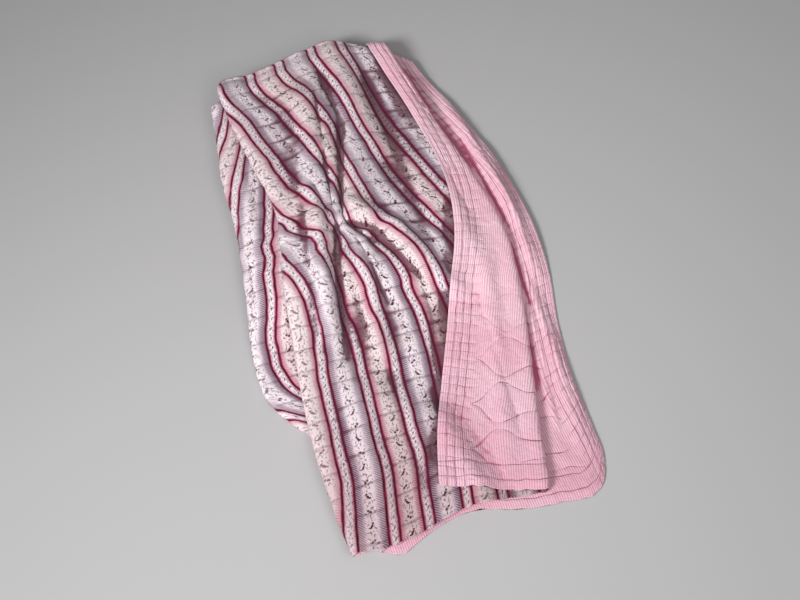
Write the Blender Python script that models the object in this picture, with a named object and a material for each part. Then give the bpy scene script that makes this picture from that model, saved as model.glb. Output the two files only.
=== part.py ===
"""Boutis quilt, folded and laid on a floor, in metres, +Z up.

Two cottons of one size are quilted together: quilt_top, striped, and quilt_back, rose. The quilt
is folded lengthwise into a stack of layers. From the floor up these are the lower layer, rose side
up; the strip, which shows beside the roll; the pleat, which is hidden; the body, striped side up;
and the flap, turned back over it with its rose side up. The stack's far end is then turned under.

Places on the stack are given as "across", to the right from the body's corner at the foot, and
"along", from the foot hem towards the cross fold. The stack is turned by LEAN at the very end.
"""

import math

import bmesh
import bpy
import numpy as np

# Cut size, and thickness through both cottons
FLAT_WIDTH = 1.30
FLAT_LENGTH = 1.50
PUFFED = 0.0070
STITCHED = 0.0030
TURNED_EDGE = 0.0028
EDGE_TAPER = 0.012
PARTING = 0.0003
CHANNEL_PITCH = 0.065
CHANNEL_ROUNDNESS = 0.7

# How the stack lies
LAYER_PITCH = 0.0084
LEAN = math.radians(18)
CROSS_FOLD = 0.97
TURNED_END = 0.51
RAMP_START = 0.36
CROSS_FOLD_LIFT = 0.006
CROSS_FOLD_LIFT_LENGTH = 0.07
FLOOR_GRIP = 0.0024      # the outer face lies flat on the floor where it comes this near

# How far a layer takes to come down past the edge of what it lies on
FOLD_MARGIN = 0.008
SLOPE_OVER_PLEAT = 0.10
SLOPE_BESIDE_ROLL = 0.08
SLOPE_BESIDE_BODY = 0.07
SLOPE_OVER_FLAP = 0.035
SLOPE_BESIDE_FLAP = 0.04

LOWER, STRIP, PLEAT, BODY, FLAP = range(5)

# Where the layers' edges lie across the stack, a row for each section along it
SECTION_COLUMNS = ("along", "lower_edge", "left_fold", "roll", "right_fold", "flap_edge")
SECTIONS = (
    (0.00, 0.456, 0.045, 0.000, 0.332, 0.164),
    (0.10, 0.456, 0.030, -0.004, 0.354, 0.195),
    (0.20, 0.459, 0.004, -0.004, 0.378, 0.235),
    (0.30, 0.474, -0.056, 0.004, 0.404, 0.275),
    (0.40, 0.497, -0.060, 0.016, 0.426, 0.312),
    (0.50, 0.506, -0.044, 0.030, 0.437, 0.350),
    (0.64, 0.497, -0.026, 0.056, 0.424, 0.377),
    (0.81, 0.462, -0.018, 0.040, 0.392, 0.362),
    (0.97, 0.412, 0.002, 0.022, 0.360, 0.332),
)

# The flat runs of one section, from the rose edge at the far right to the flap's edge
FLAT_RUN_COLUMNS = ("layer", "start", "end", "faces", "crowding")
FLAT_RUNS = (
    (LOWER, "lower_edge", "left_fold", 20, 1.5),
    (STRIP, "left_fold", "pleat_fold", 10, 1.0),
    (PLEAT, "pleat_fold", "roll", 4, 1.0),
    (BODY, "roll", "right_fold", 23, 1.0),
    (FLAP, "right_fold", "flap_edge", 9, 0.9),
)
FOLD_FACES = 4
FOLD_ARCS = 0.070  # what the four lengthwise folds take of the width

# How far each fold stands up in a soft bulge, and how wide that is, the top end's height taking over
# between these two places
BULGE_CHANGE_START = 0.45
BULGE_CHANGE_LENGTH = 0.35
BULGE_COLUMNS = ("fold", "layer", "foot_height", "top_height", "half_width")
BULGES = (
    ("left_fold", STRIP, 0.002, 0.011, 0.032),
    ("roll", BODY, 0.008, 0.013, 0.034),
    ("right_fold", FLAP, 0.006, 0.005, 0.028),
)

# Soft ridges of the cloth, each from one place on the stack to another
RIDGE_COLUMNS = (
    "layer", "from_across", "from_along", "to_across", "to_along", "height", "half_width",
)
RIDGES = (
    (BODY, 0.205, 0.96, 0.170, 0.58, 0.014, 0.070),
    (BODY, 0.122, 0.66, 0.070, 0.38, 0.020, 0.017),
    (BODY, 0.178, 0.56, 0.150, 0.30, 0.013, 0.019),
    (BODY, 0.168, 0.63, 0.262, 0.55, 0.014, 0.018),
    (BODY, 0.245, 0.57, 0.318, 0.40, 0.013, 0.020),
    (BODY, 0.165, 0.92, 0.150, 0.75, 0.012, 0.024),
    (BODY, 0.152, 0.78, 0.108, 0.65, 0.011, 0.020),
    (BODY, 0.214, 0.97, 0.222, 0.77, -0.008, 0.017),
    (BODY, 0.222, 0.83, 0.160, 0.61, -0.010, 0.017),
    (BODY, 0.262, 0.96, 0.275, 0.72, 0.008, 0.024),
    (BODY, 0.085, 0.28, 0.066, 0.00, 0.010, 0.022),
    (BODY, 0.200, 0.22, 0.236, 0.00, 0.011, 0.024),
    (FLAP, 0.402, 0.50, 0.290, 0.06, 0.007, 0.018),
    (LOWER, 0.478, 0.72, 0.474, 0.40, 0.010, 0.014),
    (LOWER, 0.446, 0.36, 0.430, 0.06, 0.009, 0.016),
)

# How far the foot hems of the lower layer and the body lie towards the foot (negative) or away from it
HEM_COLUMNS = ("across", "shift")
LOWER_HEM = (
    (0.045, -0.010),
    (0.065, -0.022),
    (0.112, -0.008),
    (0.170, 0.010),
    (0.210, 0.012),
    (0.290, -0.011),
    (0.356, -0.020),
    (0.432, -0.011),
    (0.456, 0.022),
)
BODY_HEM = (
    (0.000, -0.009),
    (0.050, -0.013),
    (0.110, -0.007),
    (0.170, 0.009),
    (0.270, 0.010),
    (0.330, 0.003),
)
HIDDEN_HEM = 0.016        # the layers between them
HEM_FADE = 0.25

# How far the cross fold lies towards the top (positive) or away from it
CROSS_FOLD_SAG = (
    (0.00, -0.045),
    (0.03, -0.028),
    (0.11, -0.012),
    (0.19, 0.008),
    (0.29, 0.022),
    (0.34, 0.014),
    (0.41, -0.018),
)
CROSS_FOLD_SAG_LENGTH = 0.42

# The slant at which the flap was turned back, which fades towards the top end
FLAP_SKEW = 0.33
FLAP_SKEW_START = 0.15
FLAP_SKEW_LENGTH = 0.60

# The body is drawn together into a pinch, with two slighter ones along the fold above it
GATHER_COLUMNS = ("across", "along", "pull", "half_across", "half_along")
GATHERS = (
    (0.150, 0.590, 0.72, 0.075, 0.055),
    (0.185, 0.680, 0.40, 0.075, 0.070),
    (0.222, 0.800, 0.25, 0.080, 0.080),
)
GATHER_MARGIN = 0.04

# The sections that are worked out, closer together at the hem and on the ramp
NEAR_ROWS = (
    0.0, 0.012, 0.06, 0.12, 0.18, 0.24, 0.29, 0.335, 0.38, 0.43,
    0.48, 0.53, 0.575, 0.62, 0.67, 0.73, 0.79, 0.85, 0.91, 0.97,
)
CROSS_FOLD_FACES = 4
TURNED_FACES = 4


def rise(value, start, width):
    """0 before start, 1 after start + width, and smooth between."""
    step = np.clip((value - start) / width, 0.0, 1.0)
    return step * step * (3.0 - 2.0 * step)


def hump(distance, half_width):
    return np.exp(-((distance / half_width) ** 2))


def smooth_table(rows, column, value):
    """A column of a table, read at a value of its first column, on a smooth curve through its rows."""
    table = np.array(rows, float)
    knots, heights = table[:, 0], table[:, column]
    slopes = np.gradient(heights, knots)
    value = np.clip(value, knots[0], knots[-1])
    at = np.clip(np.searchsorted(knots, value, side="right") - 1, 0, len(knots) - 2)
    span = knots[at + 1] - knots[at]
    t = (value - knots[at]) / span
    return (
        (2 * t**3 - 3 * t**2 + 1) * heights[at]
        + (t**3 - 2 * t**2 + t) * span * slopes[at]
        + (3 * t**2 - 2 * t**3) * heights[at + 1]
        + (t**3 - t**2) * span * slopes[at + 1]
    )


def section_at(along):
    """The places of the layers' edges at this distance along, the pleat taking what width is left."""
    edges = {name: smooth_table(SECTIONS, i, along) for i, name in enumerate(SECTION_COLUMNS) if i}
    flap_and_body = 2 * edges["right_fold"] - edges["roll"] - edges["flap_edge"]
    lower_and_strip = edges["lower_edge"] - 2 * edges["left_fold"]
    edges["pleat_fold"] = (FLAT_WIDTH - FOLD_ARCS - flap_and_body - lower_and_strip + edges["roll"]) / 2
    return edges


def ridges(layer, across, along):
    total = 0.0
    for row in RIDGES:
        ridge = dict(zip(RIDGE_COLUMNS, row))
        if ridge["layer"] != layer:
            continue
        step_x = ridge["to_across"] - ridge["from_across"]
        step_y = ridge["to_along"] - ridge["from_along"]
        reach = (across - ridge["from_across"]) * step_x + (along - ridge["from_along"]) * step_y
        reach = reach / (step_x**2 + step_y**2)
        nearest = np.clip(reach, 0.0, 1.0)
        off_x = across - ridge["from_across"] - nearest * step_x
        off_y = along - ridge["from_along"] - nearest * step_y
        ends = rise(reach, -0.1, 0.35) * (1.0 - rise(reach, 0.8, 0.35))
        total = total + ridge["height"] * ends * hump(np.hypot(off_x, off_y), ridge["half_width"])
    return total


def bulge(layer, across, along):
    total = 0.0
    edges = section_at(along)
    for row in BULGES:
        fold = dict(zip(BULGE_COLUMNS, row))
        if fold["layer"] == layer:
            towards_top = rise(along, BULGE_CHANGE_START, BULGE_CHANGE_LENGTH)
            height = fold["foot_height"] + (fold["top_height"] - fold["foot_height"]) * towards_top
            total = total + height * hump(across - edges[fold["fold"]], fold["half_width"])
    return total


def turned_heights(across, _along):
    """Heights of the layers' middles in the turned-under end, where the flap lies lowest."""
    edges = section_at(CROSS_FOLD)
    floor = PUFFED / 2
    past_flap = rise(across, edges["right_fold"] + FOLD_MARGIN, SLOPE_BESIDE_FLAP)
    over_flap = rise(across, edges["flap_edge"] - SLOPE_OVER_FLAP, SLOPE_OVER_FLAP) * (1.0 - past_flap)
    body = floor + LAYER_PITCH * over_flap
    pleat = body + LAYER_PITCH
    beside_roll = rise(across, edges["roll"] - FOLD_MARGIN - SLOPE_BESIDE_ROLL, SLOPE_BESIDE_ROLL)
    strip = floor + beside_roll * (pleat + LAYER_PITCH - floor)
    under_pleat = 1.0 - rise(across, edges["pleat_fold"] + FOLD_MARGIN, SLOPE_OVER_PLEAT)
    carried = body + under_pleat * (strip - body)
    beside_body = 1.0 - rise(across, edges["right_fold"] + FOLD_MARGIN, SLOPE_BESIDE_BODY)
    lower = floor + beside_body * (carried + LAYER_PITCH - floor)
    return (lower, strip, pleat, body, floor + 0.0 * across)


def near_heights(across, along):
    """Heights of the layers' middles in the part that shows, which lies over the turned-under end."""
    floor = PUFFED / 2
    over_turned_end = rise(along, RAMP_START, TURNED_END - RAMP_START)
    turned_lower = turned_heights(across, along)[LOWER]
    lower = floor + over_turned_end * (turned_lower + LAYER_PITCH - floor) + ridges(LOWER, across, along)
    near_fold = rise(along, CROSS_FOLD - CROSS_FOLD_LIFT_LENGTH, CROSS_FOLD_LIFT_LENGTH)
    lower = lower + CROSS_FOLD_LIFT * near_fold
    strip = lower + LAYER_PITCH + bulge(STRIP, across, along)
    pleat = strip + LAYER_PITCH
    past_pleat = rise(across, section_at(along)["pleat_fold"] + FOLD_MARGIN, SLOPE_OVER_PLEAT)
    over_pleat = 1.0 - past_pleat
    body = lower + LAYER_PITCH + over_pleat * (pleat - lower)
    body = body + bulge(BODY, across, along) + ridges(BODY, across, along)
    flap = body + LAYER_PITCH + bulge(FLAP, across, along) + ridges(FLAP, across, along)
    return (lower, strip, pleat, body, flap)


def hem_shift(layer, across, edges):
    """How far a layer's foot hem is drawn along the stack, the same on both sides of each fold."""
    on_lower, on_body = smooth_table(LOWER_HEM, 1, across), smooth_table(BODY_HEM, 1, across)
    if layer == LOWER:
        return on_lower
    if layer == STRIP:
        share = (across - edges["left_fold"]) / (edges["pleat_fold"] - edges["left_fold"])
        at_fold = smooth_table(LOWER_HEM, 1, edges["left_fold"])
        return at_fold + (HIDDEN_HEM - at_fold) * rise(share, 0.0, 0.4)
    if layer == PLEAT:
        share = (edges["pleat_fold"] - across) / (edges["pleat_fold"] - edges["roll"])
        at_fold = smooth_table(BODY_HEM, 1, edges["roll"])
        return HIDDEN_HEM + (at_fold - HIDDEN_HEM) * rise(share, 0.5, 0.5)
    return on_body


def skew(layer, across, along, edges):
    """How far a point is drawn along the stack, at the hems, in the flap and at the cross fold."""
    at_foot = 1.0 - rise(along, 0.0, HEM_FADE)
    at_top = rise(along, CROSS_FOLD - CROSS_FOLD_SAG_LENGTH, CROSS_FOLD_SAG_LENGTH)
    drawn = at_top * smooth_table(CROSS_FOLD_SAG, 1, across)
    if layer == FLAP:
        flap_skew = FLAP_SKEW * (1.0 - rise(along, FLAP_SKEW_START, FLAP_SKEW_LENGTH))
        at_fold = hem_shift(BODY, edges["right_fold"], edges)
        return drawn + at_foot * at_fold + flap_skew * (edges["right_fold"] - across)
    return drawn + at_foot * hem_shift(layer, across, edges)


def drawn_in(layer, across, along, edges):
    """Where the points of the body lie once the pinch has drawn them in."""
    moved = across
    if layer == BODY:
        inside = rise(across, edges["roll"], GATHER_MARGIN)
        inside = inside * (1.0 - rise(across, edges["right_fold"] - GATHER_MARGIN, GATHER_MARGIN))
        for row in GATHERS:
            pinch = dict(zip(GATHER_COLUMNS, row))
            away = across - pinch["across"]
            near = hump(away, pinch["half_across"]) * hump(along - pinch["along"], pinch["half_along"])
            moved = moved - pinch["pull"] * inside * near * away
    return moved


def section_points(along, heights):
    """Across, along and height of one section's points, run by run with a half turn between runs.

    The last column is the place across before any pinch, from which the cut widths are measured."""
    edges = section_at(along)
    points = []
    for number, row in enumerate(FLAT_RUNS):
        run = dict(zip(FLAT_RUN_COLUMNS, row))
        steps = np.linspace(0.0, 1.0, run["faces"] + 1) ** run["crowding"]
        across = edges[run["start"]] + steps * (edges[run["end"]] - edges[run["start"]])
        drawn = along + skew(run["layer"], across, along, edges)
        moved = drawn_in(run["layer"], across, drawn, edges)
        height = heights(moved, drawn)[run["layer"]]
        points.append(np.column_stack([moved, drawn, height, across]))
        if number + 1 < len(FLAT_RUNS):
            last = points[-1][-1]
            levels = heights(last[0], last[1])
            low, high = levels[run["layer"]], levels[run["layer"] + 1]
            turn = np.pi * np.arange(1, FOLD_FACES) / FOLD_FACES
            outwards = np.sign(edges[run["end"]] - edges[run["start"]])
            around = last[0] + outwards * abs(high - low) / 2 * np.sin(turn)
            height = (low + high) / 2 - (high - low) / 2 * np.cos(turn)
            points.append(np.column_stack([around, np.full_like(around, last[1]), height, around]))
    return np.concatenate(points)


def middle_of_quilt():
    """The quilt's middle surface, the cut widths and the cut lengths, rows first."""
    rows = [section_points(along, near_heights) for along in NEAR_ROWS]
    lengths = [np.full(len(rows[0]), along) for along in NEAR_ROWS]
    upper, under = rows[-1], section_points(CROSS_FOLD, turned_heights)
    radius = (upper[:, 2] - under[:, 2]) / 2
    for step in range(1, CROSS_FOLD_FACES + 1):
        turn = np.pi * step / CROSS_FOLD_FACES
        share = (1.0 - math.cos(turn)) / 2
        bend = upper + share * (under - upper)
        bend[:, 1] += radius * math.sin(turn)
        rows.append(bend)
        lengths.append(CROSS_FOLD + radius * turn)
    after_fold = lengths[-1]
    for step in range(1, TURNED_FACES + 1):
        share = step / TURNED_FACES
        row = under.copy()
        row[:, 1] += share * (TURNED_END - row[:, 1])
        rows.append(row)
        lengths.append(after_fold + share * (FLAT_LENGTH - after_fold))
    grid = np.array(rows)
    return grid[:, :, :3], cut_widths(grid), np.array(lengths)


def cut_widths(grid):
    """Each point's distance across the cut width, from the arc lengths of its row before any pinch."""
    steps = np.linalg.norm(np.diff(grid[:, :, 1:], axis=1), axis=2)
    widths = np.concatenate([np.zeros((len(grid), 1)), np.cumsum(steps, axis=1)], axis=1)
    return widths * FLAT_WIDTH / widths[:, -1:]


def surface_normals(middle):
    normals = np.cross(np.gradient(middle, axis=1), np.gradient(middle, axis=0))
    return normals / np.linalg.norm(normals, axis=2, keepdims=True)


def half_thickness(widths, lengths):
    """From the middle to the outer face: channels along the stripes, thin at the turned edges."""
    crown = np.abs(np.sin(np.pi * widths / CHANNEL_PITCH)) ** CHANNEL_ROUNDNESS
    thickness = STITCHED + (PUFFED - STITCHED) * crown
    from_side = np.minimum(widths, FLAT_WIDTH - widths)
    from_hem = np.minimum(lengths, FLAT_LENGTH - lengths)
    inside = rise(np.minimum(from_side, from_hem), 0.0, EDGE_TAPER)
    return (TURNED_EDGE + (thickness - TURNED_EDGE) * inside) / 2


def quilt_faces():
    """The four faces of the two cottons, keyed by (side, 0 at the parting or 1 outside)."""
    middle, widths, lengths = middle_of_quilt()
    half = half_thickness(widths, lengths)[:, :, None]
    normals = surface_normals(middle)
    faces = {}
    for side in (1, -1):
        outside = middle + side * half * normals
        outside[:, :, 2] = np.where(outside[:, :, 2] < FLOOR_GRIP, 0.0, outside[:, :, 2])
        faces[side, 0] = middle + side * PARTING / 2 * normals
        faces[side, 1] = outside
    cosine, sine = math.cos(LEAN), math.sin(LEAN)
    lean = np.array([[cosine, sine, 0], [-sine, cosine, 0], [0, 0, 1]])
    faces = {key: points @ lean for key, points in faces.items()}
    every_point = np.concatenate([points.reshape(-1, 3) for points in faces.values()])
    middle_of_box = (every_point.min(axis=0) + every_point.max(axis=0)) / 2
    middle_of_box[2] = 0.0
    return {key: points - middle_of_box for key, points in faces.items()}


def principled(name, colour, roughness):
    material = bpy.data.materials.new(name)
    material.use_nodes = True
    shader = material.node_tree.nodes["Principled BSDF"]
    shader.inputs["Base Color"].default_value = (*colour, 1.0)
    shader.inputs["Roughness"].default_value = roughness
    shader.inputs["Metallic"].default_value = 0.0
    material.diffuse_color = (*colour, 1.0)
    return material


def cotton(name, faces, side, material, collection):
    """One cotton as a slab of the grid's squares, its points then put in place."""
    inner, outer = faces[side, 0], faces[side, 1]
    rows, columns = inner.shape[0] - 1, inner.shape[1] - 1
    slab = bmesh.new()
    bmesh.ops.create_grid(slab, x_segments=columns, y_segments=rows, size=0.5)
    bmesh.ops.triangulate(slab, faces=slab.faces[:], quad_method="FIXED")
    extruded = bmesh.ops.extrude_face_region(slab, geom=slab.faces[:])
    raised = [part for part in extruded["geom"] if isinstance(part, bmesh.types.BMVert)]
    bmesh.ops.translate(slab, vec=(0, 0, 1), verts=raised)
    bmesh.ops.recalc_face_normals(slab, faces=slab.faces[:])
    if side < 0:
        bmesh.ops.reverse_faces(slab, faces=slab.faces[:])
    for point in slab.verts:
        column = round((point.co.x + 0.5) * columns)
        row = round((point.co.y + 0.5) * rows)
        point.co = (outer if point.co.z > 0.5 else inner)[row, column]
    mesh = bpy.data.meshes.new(name)
    slab.to_mesh(mesh)
    slab.free()
    mesh.materials.append(material)
    mesh.shade_smooth()
    part = bpy.data.objects.new(name, mesh)
    collection.objects.link(part)
    return part


def main():
    for thing in list(bpy.data.objects):
        bpy.data.objects.remove(thing, do_unlink=True)
    collection = bpy.data.collections.new("boutis_quilt")
    bpy.context.scene.collection.children.link(collection)
    faces = quilt_faces()
    striped = principled("striped_cotton", (0.58, 0.40, 0.44), 0.85)
    rose = principled("rose_cotton", (0.80, 0.38, 0.48), 0.85)
    cotton("quilt_top", faces, 1, striped, collection)
    cotton("quilt_back", faces, -1, rose, collection)


main()
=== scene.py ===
# %% [markdown]
# # A boutis quilt, folded and laid on the floor
#
# The real thing is two cottons of one size with thin wadding between them, stitched through so that
# the wadding stands up in soft rolls. One side is a striped floral print, the other a plain rose
# cotton with a fine pin stripe. It is folded lengthwise, one side is turned back to show the rose,
# and the far end is turned under. Here each cotton is one thin sheet, bent along the folds of the
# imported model, and most of the work goes into relief, print and stitching.

import math

import bmesh
import bpy
import numpy as np
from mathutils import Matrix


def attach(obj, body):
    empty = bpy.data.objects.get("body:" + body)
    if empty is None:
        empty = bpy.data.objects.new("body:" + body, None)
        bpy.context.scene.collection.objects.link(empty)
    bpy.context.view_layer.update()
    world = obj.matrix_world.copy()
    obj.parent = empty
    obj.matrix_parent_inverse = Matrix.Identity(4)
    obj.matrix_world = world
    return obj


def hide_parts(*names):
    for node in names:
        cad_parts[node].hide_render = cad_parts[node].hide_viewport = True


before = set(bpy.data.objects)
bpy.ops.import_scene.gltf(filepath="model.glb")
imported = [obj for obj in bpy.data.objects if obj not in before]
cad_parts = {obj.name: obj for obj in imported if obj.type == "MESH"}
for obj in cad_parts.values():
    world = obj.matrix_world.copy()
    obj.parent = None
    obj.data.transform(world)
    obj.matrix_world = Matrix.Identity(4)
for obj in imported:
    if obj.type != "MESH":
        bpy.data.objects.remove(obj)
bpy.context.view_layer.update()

# %% [markdown]
# ## Sizes of the cloth and of the stack
#
# A quilter works from a few measures: the cut size, how thick the wadding stands, and where the
# folds go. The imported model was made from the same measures, so the sheets follow its folds.
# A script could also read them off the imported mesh, but then no one could see what they mean.
# "Across" runs to the right from the body's corner at the foot, and "along" runs from the foot hem
# towards the cross fold. The whole stack is turned by LEAN at the very end.

# %% Sizes, in metres
FLAT_WIDTH = 1.30
FLAT_LENGTH = 1.50
PUFFED = 0.0070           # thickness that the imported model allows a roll
TURNED_EDGE = 0.0028      # thickness at the hems and side edges
EDGE_TAPER = 0.012
LAYER_PITCH = 0.0084
LEAN = math.radians(18)
CROSS_FOLD = 0.97
TURNED_END = 0.51
RAMP_START = 0.36
CROSS_FOLD_LIFT = 0.006
CROSS_FOLD_LIFT_LENGTH = 0.07
FLOOR_GRIP = 0.0024       # what lies nearer to the floor than this touches it
FOLD_MARGIN = 0.008
SLOPE_OVER_PLEAT = 0.10
SLOPE_BESIDE_ROLL = 0.08
SLOPE_BESIDE_BODY = 0.07
SLOPE_OVER_FLAP = 0.035
SLOPE_BESIDE_FLAP = 0.04
FOLD_ARCS = 0.070         # width of cloth in the half turns between the layers
print("cut size", FLAT_WIDTH, "by", FLAT_LENGTH, "m, layers", LAYER_PITCH, "m apart")

# %% [markdown]
# ## Layers, and where their edges lie
#
# Folded lengthwise, the quilt makes five layers: the lower one, the strip beside the roll, a hidden
# pleat, the body and the flap. Their edges wander on the way up the stack, so they are given for
# nine sections. Each table here has its columns named just above it.

# %% Sections
LOWER, STRIP, PLEAT, BODY, FLAP = range(5)
STRIPED, ROSE = 1, -1     # which way each cotton faces from the middle of the quilt

SECTION_COLUMNS = ("along", "lower_edge", "left_fold", "roll", "right_fold", "flap_edge")
SECTIONS = (
    (0.00, 0.456, 0.045, 0.000, 0.332, 0.164),
    (0.10, 0.456, 0.030, -0.004, 0.354, 0.195),
    (0.20, 0.459, 0.004, -0.004, 0.378, 0.235),
    (0.30, 0.474, -0.056, 0.004, 0.404, 0.275),
    (0.40, 0.497, -0.060, 0.016, 0.426, 0.312),
    (0.50, 0.506, -0.044, 0.030, 0.437, 0.350),
    (0.64, 0.497, -0.026, 0.056, 0.424, 0.377),
    (0.81, 0.462, -0.018, 0.040, 0.392, 0.362),
    (0.97, 0.412, 0.002, 0.022, 0.360, 0.332),
)
print(len(SECTIONS), "sections through", FLAP + 1, "layers")

# %% [markdown]
# ## Bulges and main ridges
#
# Cloth that turns back on itself stands up beside the fold. The main folds of the body are ridges,
# or troughs where the height is negative, each from one place on the stack to another. They are
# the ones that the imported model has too.

# %% Bulges and ridges
BULGE_CHANGE_START = 0.45
BULGE_CHANGE_LENGTH = 0.35
BULGE_COLUMNS = ("fold", "layer", "foot_height", "top_height", "half_width")
BULGES = (
    ("left_fold", STRIP, 0.002, 0.011, 0.032),
    ("roll", BODY, 0.008, 0.013, 0.034),
    ("right_fold", FLAP, 0.006, 0.005, 0.028),
)

RIDGE_COLUMNS = (
    "layer", "from_across", "from_along", "to_across", "to_along", "height", "half_width",
)
RIDGES = (
    (BODY, 0.205, 0.96, 0.170, 0.58, 0.014, 0.070),
    (BODY, 0.122, 0.66, 0.070, 0.38, 0.020, 0.017),
    (BODY, 0.178, 0.56, 0.150, 0.30, 0.013, 0.019),
    (BODY, 0.168, 0.63, 0.262, 0.55, 0.014, 0.018),
    (BODY, 0.245, 0.57, 0.318, 0.40, 0.013, 0.020),
    (BODY, 0.165, 0.92, 0.150, 0.75, 0.012, 0.024),
    (BODY, 0.152, 0.78, 0.108, 0.65, 0.011, 0.020),
    (BODY, 0.214, 0.97, 0.222, 0.77, -0.008, 0.017),
    (BODY, 0.222, 0.83, 0.160, 0.61, -0.010, 0.017),
    (BODY, 0.262, 0.96, 0.275, 0.72, 0.008, 0.024),
    (BODY, 0.085, 0.28, 0.066, 0.00, 0.010, 0.022),
    (BODY, 0.200, 0.22, 0.236, 0.00, 0.011, 0.024),
    (FLAP, 0.402, 0.50, 0.290, 0.06, 0.007, 0.018),
    (LOWER, 0.478, 0.72, 0.474, 0.40, 0.010, 0.014),
    (LOWER, 0.446, 0.36, 0.430, 0.06, 0.009, 0.016),
)
print(len(BULGES), "bulges and", len(RIDGES), "main ridges")

# %% [markdown]
# ## Hems and cross fold
#
# No hem of a folded quilt lies straight. These rows say how far the cloth is drawn along the stack,
# at places across it: at the foot hems of the lower layer and of the body, and at the cross fold.

# %% Hems and cross fold
LOWER_HEM = (
    (0.045, -0.010),
    (0.065, -0.022),
    (0.112, -0.008),
    (0.170, 0.010),
    (0.210, 0.012),
    (0.290, -0.011),
    (0.356, -0.020),
    (0.432, -0.011),
    (0.456, 0.022),
)
BODY_HEM = (
    (0.000, -0.009),
    (0.050, -0.013),
    (0.110, -0.007),
    (0.170, 0.009),
    (0.270, 0.010),
    (0.330, 0.003),
)
HIDDEN_HEM = 0.016
HEM_FADE = 0.25
CROSS_FOLD_SAG = (
    (0.00, -0.045),
    (0.03, -0.028),
    (0.11, -0.012),
    (0.19, 0.008),
    (0.29, 0.022),
    (0.34, 0.014),
    (0.41, -0.018),
)
CROSS_FOLD_SAG_LENGTH = 0.42
FLAP_SKEW = 0.33
FLAP_SKEW_START = 0.15
FLAP_SKEW_LENGTH = 0.60
print("the cross fold is drawn along by", CROSS_FOLD_SAG[0][1], "to", CROSS_FOLD_SAG[4][1], "m")

# %% [markdown]
# ## The pinch
#
# In the upper part the body is pinched together, and the stripes run into the pinch from both
# sides. Each gather pulls the cloth sideways towards one place, by a share of its distance.

# %% Gathers
GATHER_COLUMNS = ("across", "along", "pull", "half_across", "half_along")
GATHERS = (
    (0.150, 0.590, 0.72, 0.075, 0.055),
    (0.185, 0.680, 0.40, 0.075, 0.070),
    (0.222, 0.800, 0.25, 0.080, 0.080),
)
GATHER_MARGIN = 0.04
print(len(GATHERS), "gathers make the pinch")

# %% [markdown]
# ## Reading a curve from a short table
#
# Three small helpers shape everything that follows. rise() is a smooth step, hump() a soft bump,
# and smooth_table() draws a smooth curve through a few given rows.

# %% Curve helpers
def rise(value, start, width):
    """0 before start, 1 after start + width, and smooth between."""
    step = np.clip((value - start) / width, 0.0, 1.0)
    return step * step * (3.0 - 2.0 * step)


def hump(distance, half_width):
    return np.exp(-((distance / half_width) ** 2))


def smooth_table(rows, column, value):
    table = np.array(rows, float)
    knots, heights = table[:, 0], table[:, column]
    slopes = np.gradient(heights, knots)
    value = np.clip(value, knots[0], knots[-1])
    at = np.clip(np.searchsorted(knots, value, side="right") - 1, 0, len(knots) - 2)
    span = knots[at + 1] - knots[at]
    t = (value - knots[at]) / span
    return (
        (2 * t**3 - 3 * t**2 + 1) * heights[at]
        + (t**3 - 2 * t**2 + t) * span * slopes[at]
        + (3 * t**2 - 2 * t**3) * heights[at + 1]
        + (t**3 - t**2) * span * slopes[at + 1]
    )


def section_at(along):
    """The places of the layers' edges at this distance along, the pleat taking what width is left."""
    edges = {name: smooth_table(SECTIONS, i, along) for i, name in enumerate(SECTION_COLUMNS) if i}
    flap_and_body = 2 * edges["right_fold"] - edges["roll"] - edges["flap_edge"]
    lower_and_strip = edges["lower_edge"] - 2 * edges["left_fold"]
    edges["pleat_fold"] = (FLAT_WIDTH - FOLD_ARCS - flap_and_body - lower_and_strip + edges["roll"]) / 2
    return edges


print("halfway up, the edges lie at", {k: round(float(v), 3) for k, v in section_at(0.5).items()})

# %% [markdown]
# ## How high each layer lies
#
# Cloth drapes over what is under it. Each layer's height is the layer below plus one pitch, and it
# comes down in a smooth slope where the layer below ends. Soft ridges and bulges are added on top.

# %% Ridges and bulges as heights
RIDGE_RISES = -0.1        # in shares of a ridge's length
RIDGE_SINKS = 0.8
RIDGE_SWELL = 0.35        # over which it rises, and sinks again


def soft_ridges(table, layer, across, along):
    """Ridges (or troughs, where the height is negative) from one place on the stack to another."""
    total = 0.0
    for row in table:
        ridge = dict(zip(RIDGE_COLUMNS, row))
        if ridge["layer"] != layer:
            continue
        step_x = ridge["to_across"] - ridge["from_across"]
        step_y = ridge["to_along"] - ridge["from_along"]
        reach = (across - ridge["from_across"]) * step_x + (along - ridge["from_along"]) * step_y
        reach = reach / (step_x**2 + step_y**2)
        nearest = np.clip(reach, 0.0, 1.0)
        off_x = across - ridge["from_across"] - nearest * step_x
        off_y = along - ridge["from_along"] - nearest * step_y
        ends = rise(reach, RIDGE_RISES, RIDGE_SWELL) * (1.0 - rise(reach, RIDGE_SINKS, RIDGE_SWELL))
        total = total + ridge["height"] * ends * hump(np.hypot(off_x, off_y), ridge["half_width"])
    return total


def bulge(layer, across, along):
    total = 0.0
    edges = section_at(along)
    for row in BULGES:
        fold = dict(zip(BULGE_COLUMNS, row))
        if fold["layer"] == layer:
            towards_top = rise(along, BULGE_CHANGE_START, BULGE_CHANGE_LENGTH)
            height = fold["foot_height"] + (fold["top_height"] - fold["foot_height"]) * towards_top
            total = total + height * hump(across - edges[fold["fold"]], fold["half_width"])
    return total


left_fold = section_at(0.8)["left_fold"]
print("the left fold stands up by", round(float(bulge(STRIP, left_fold, 0.8)), 4), "m more")

# %% Heights in the turned-under end
def over_pleat(across, along):
    """1 over the pleat, and smoothly down to 0 beside it."""
    return 1.0 - rise(across, section_at(along)["pleat_fold"] + FOLD_MARGIN, SLOPE_OVER_PLEAT)


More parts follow.
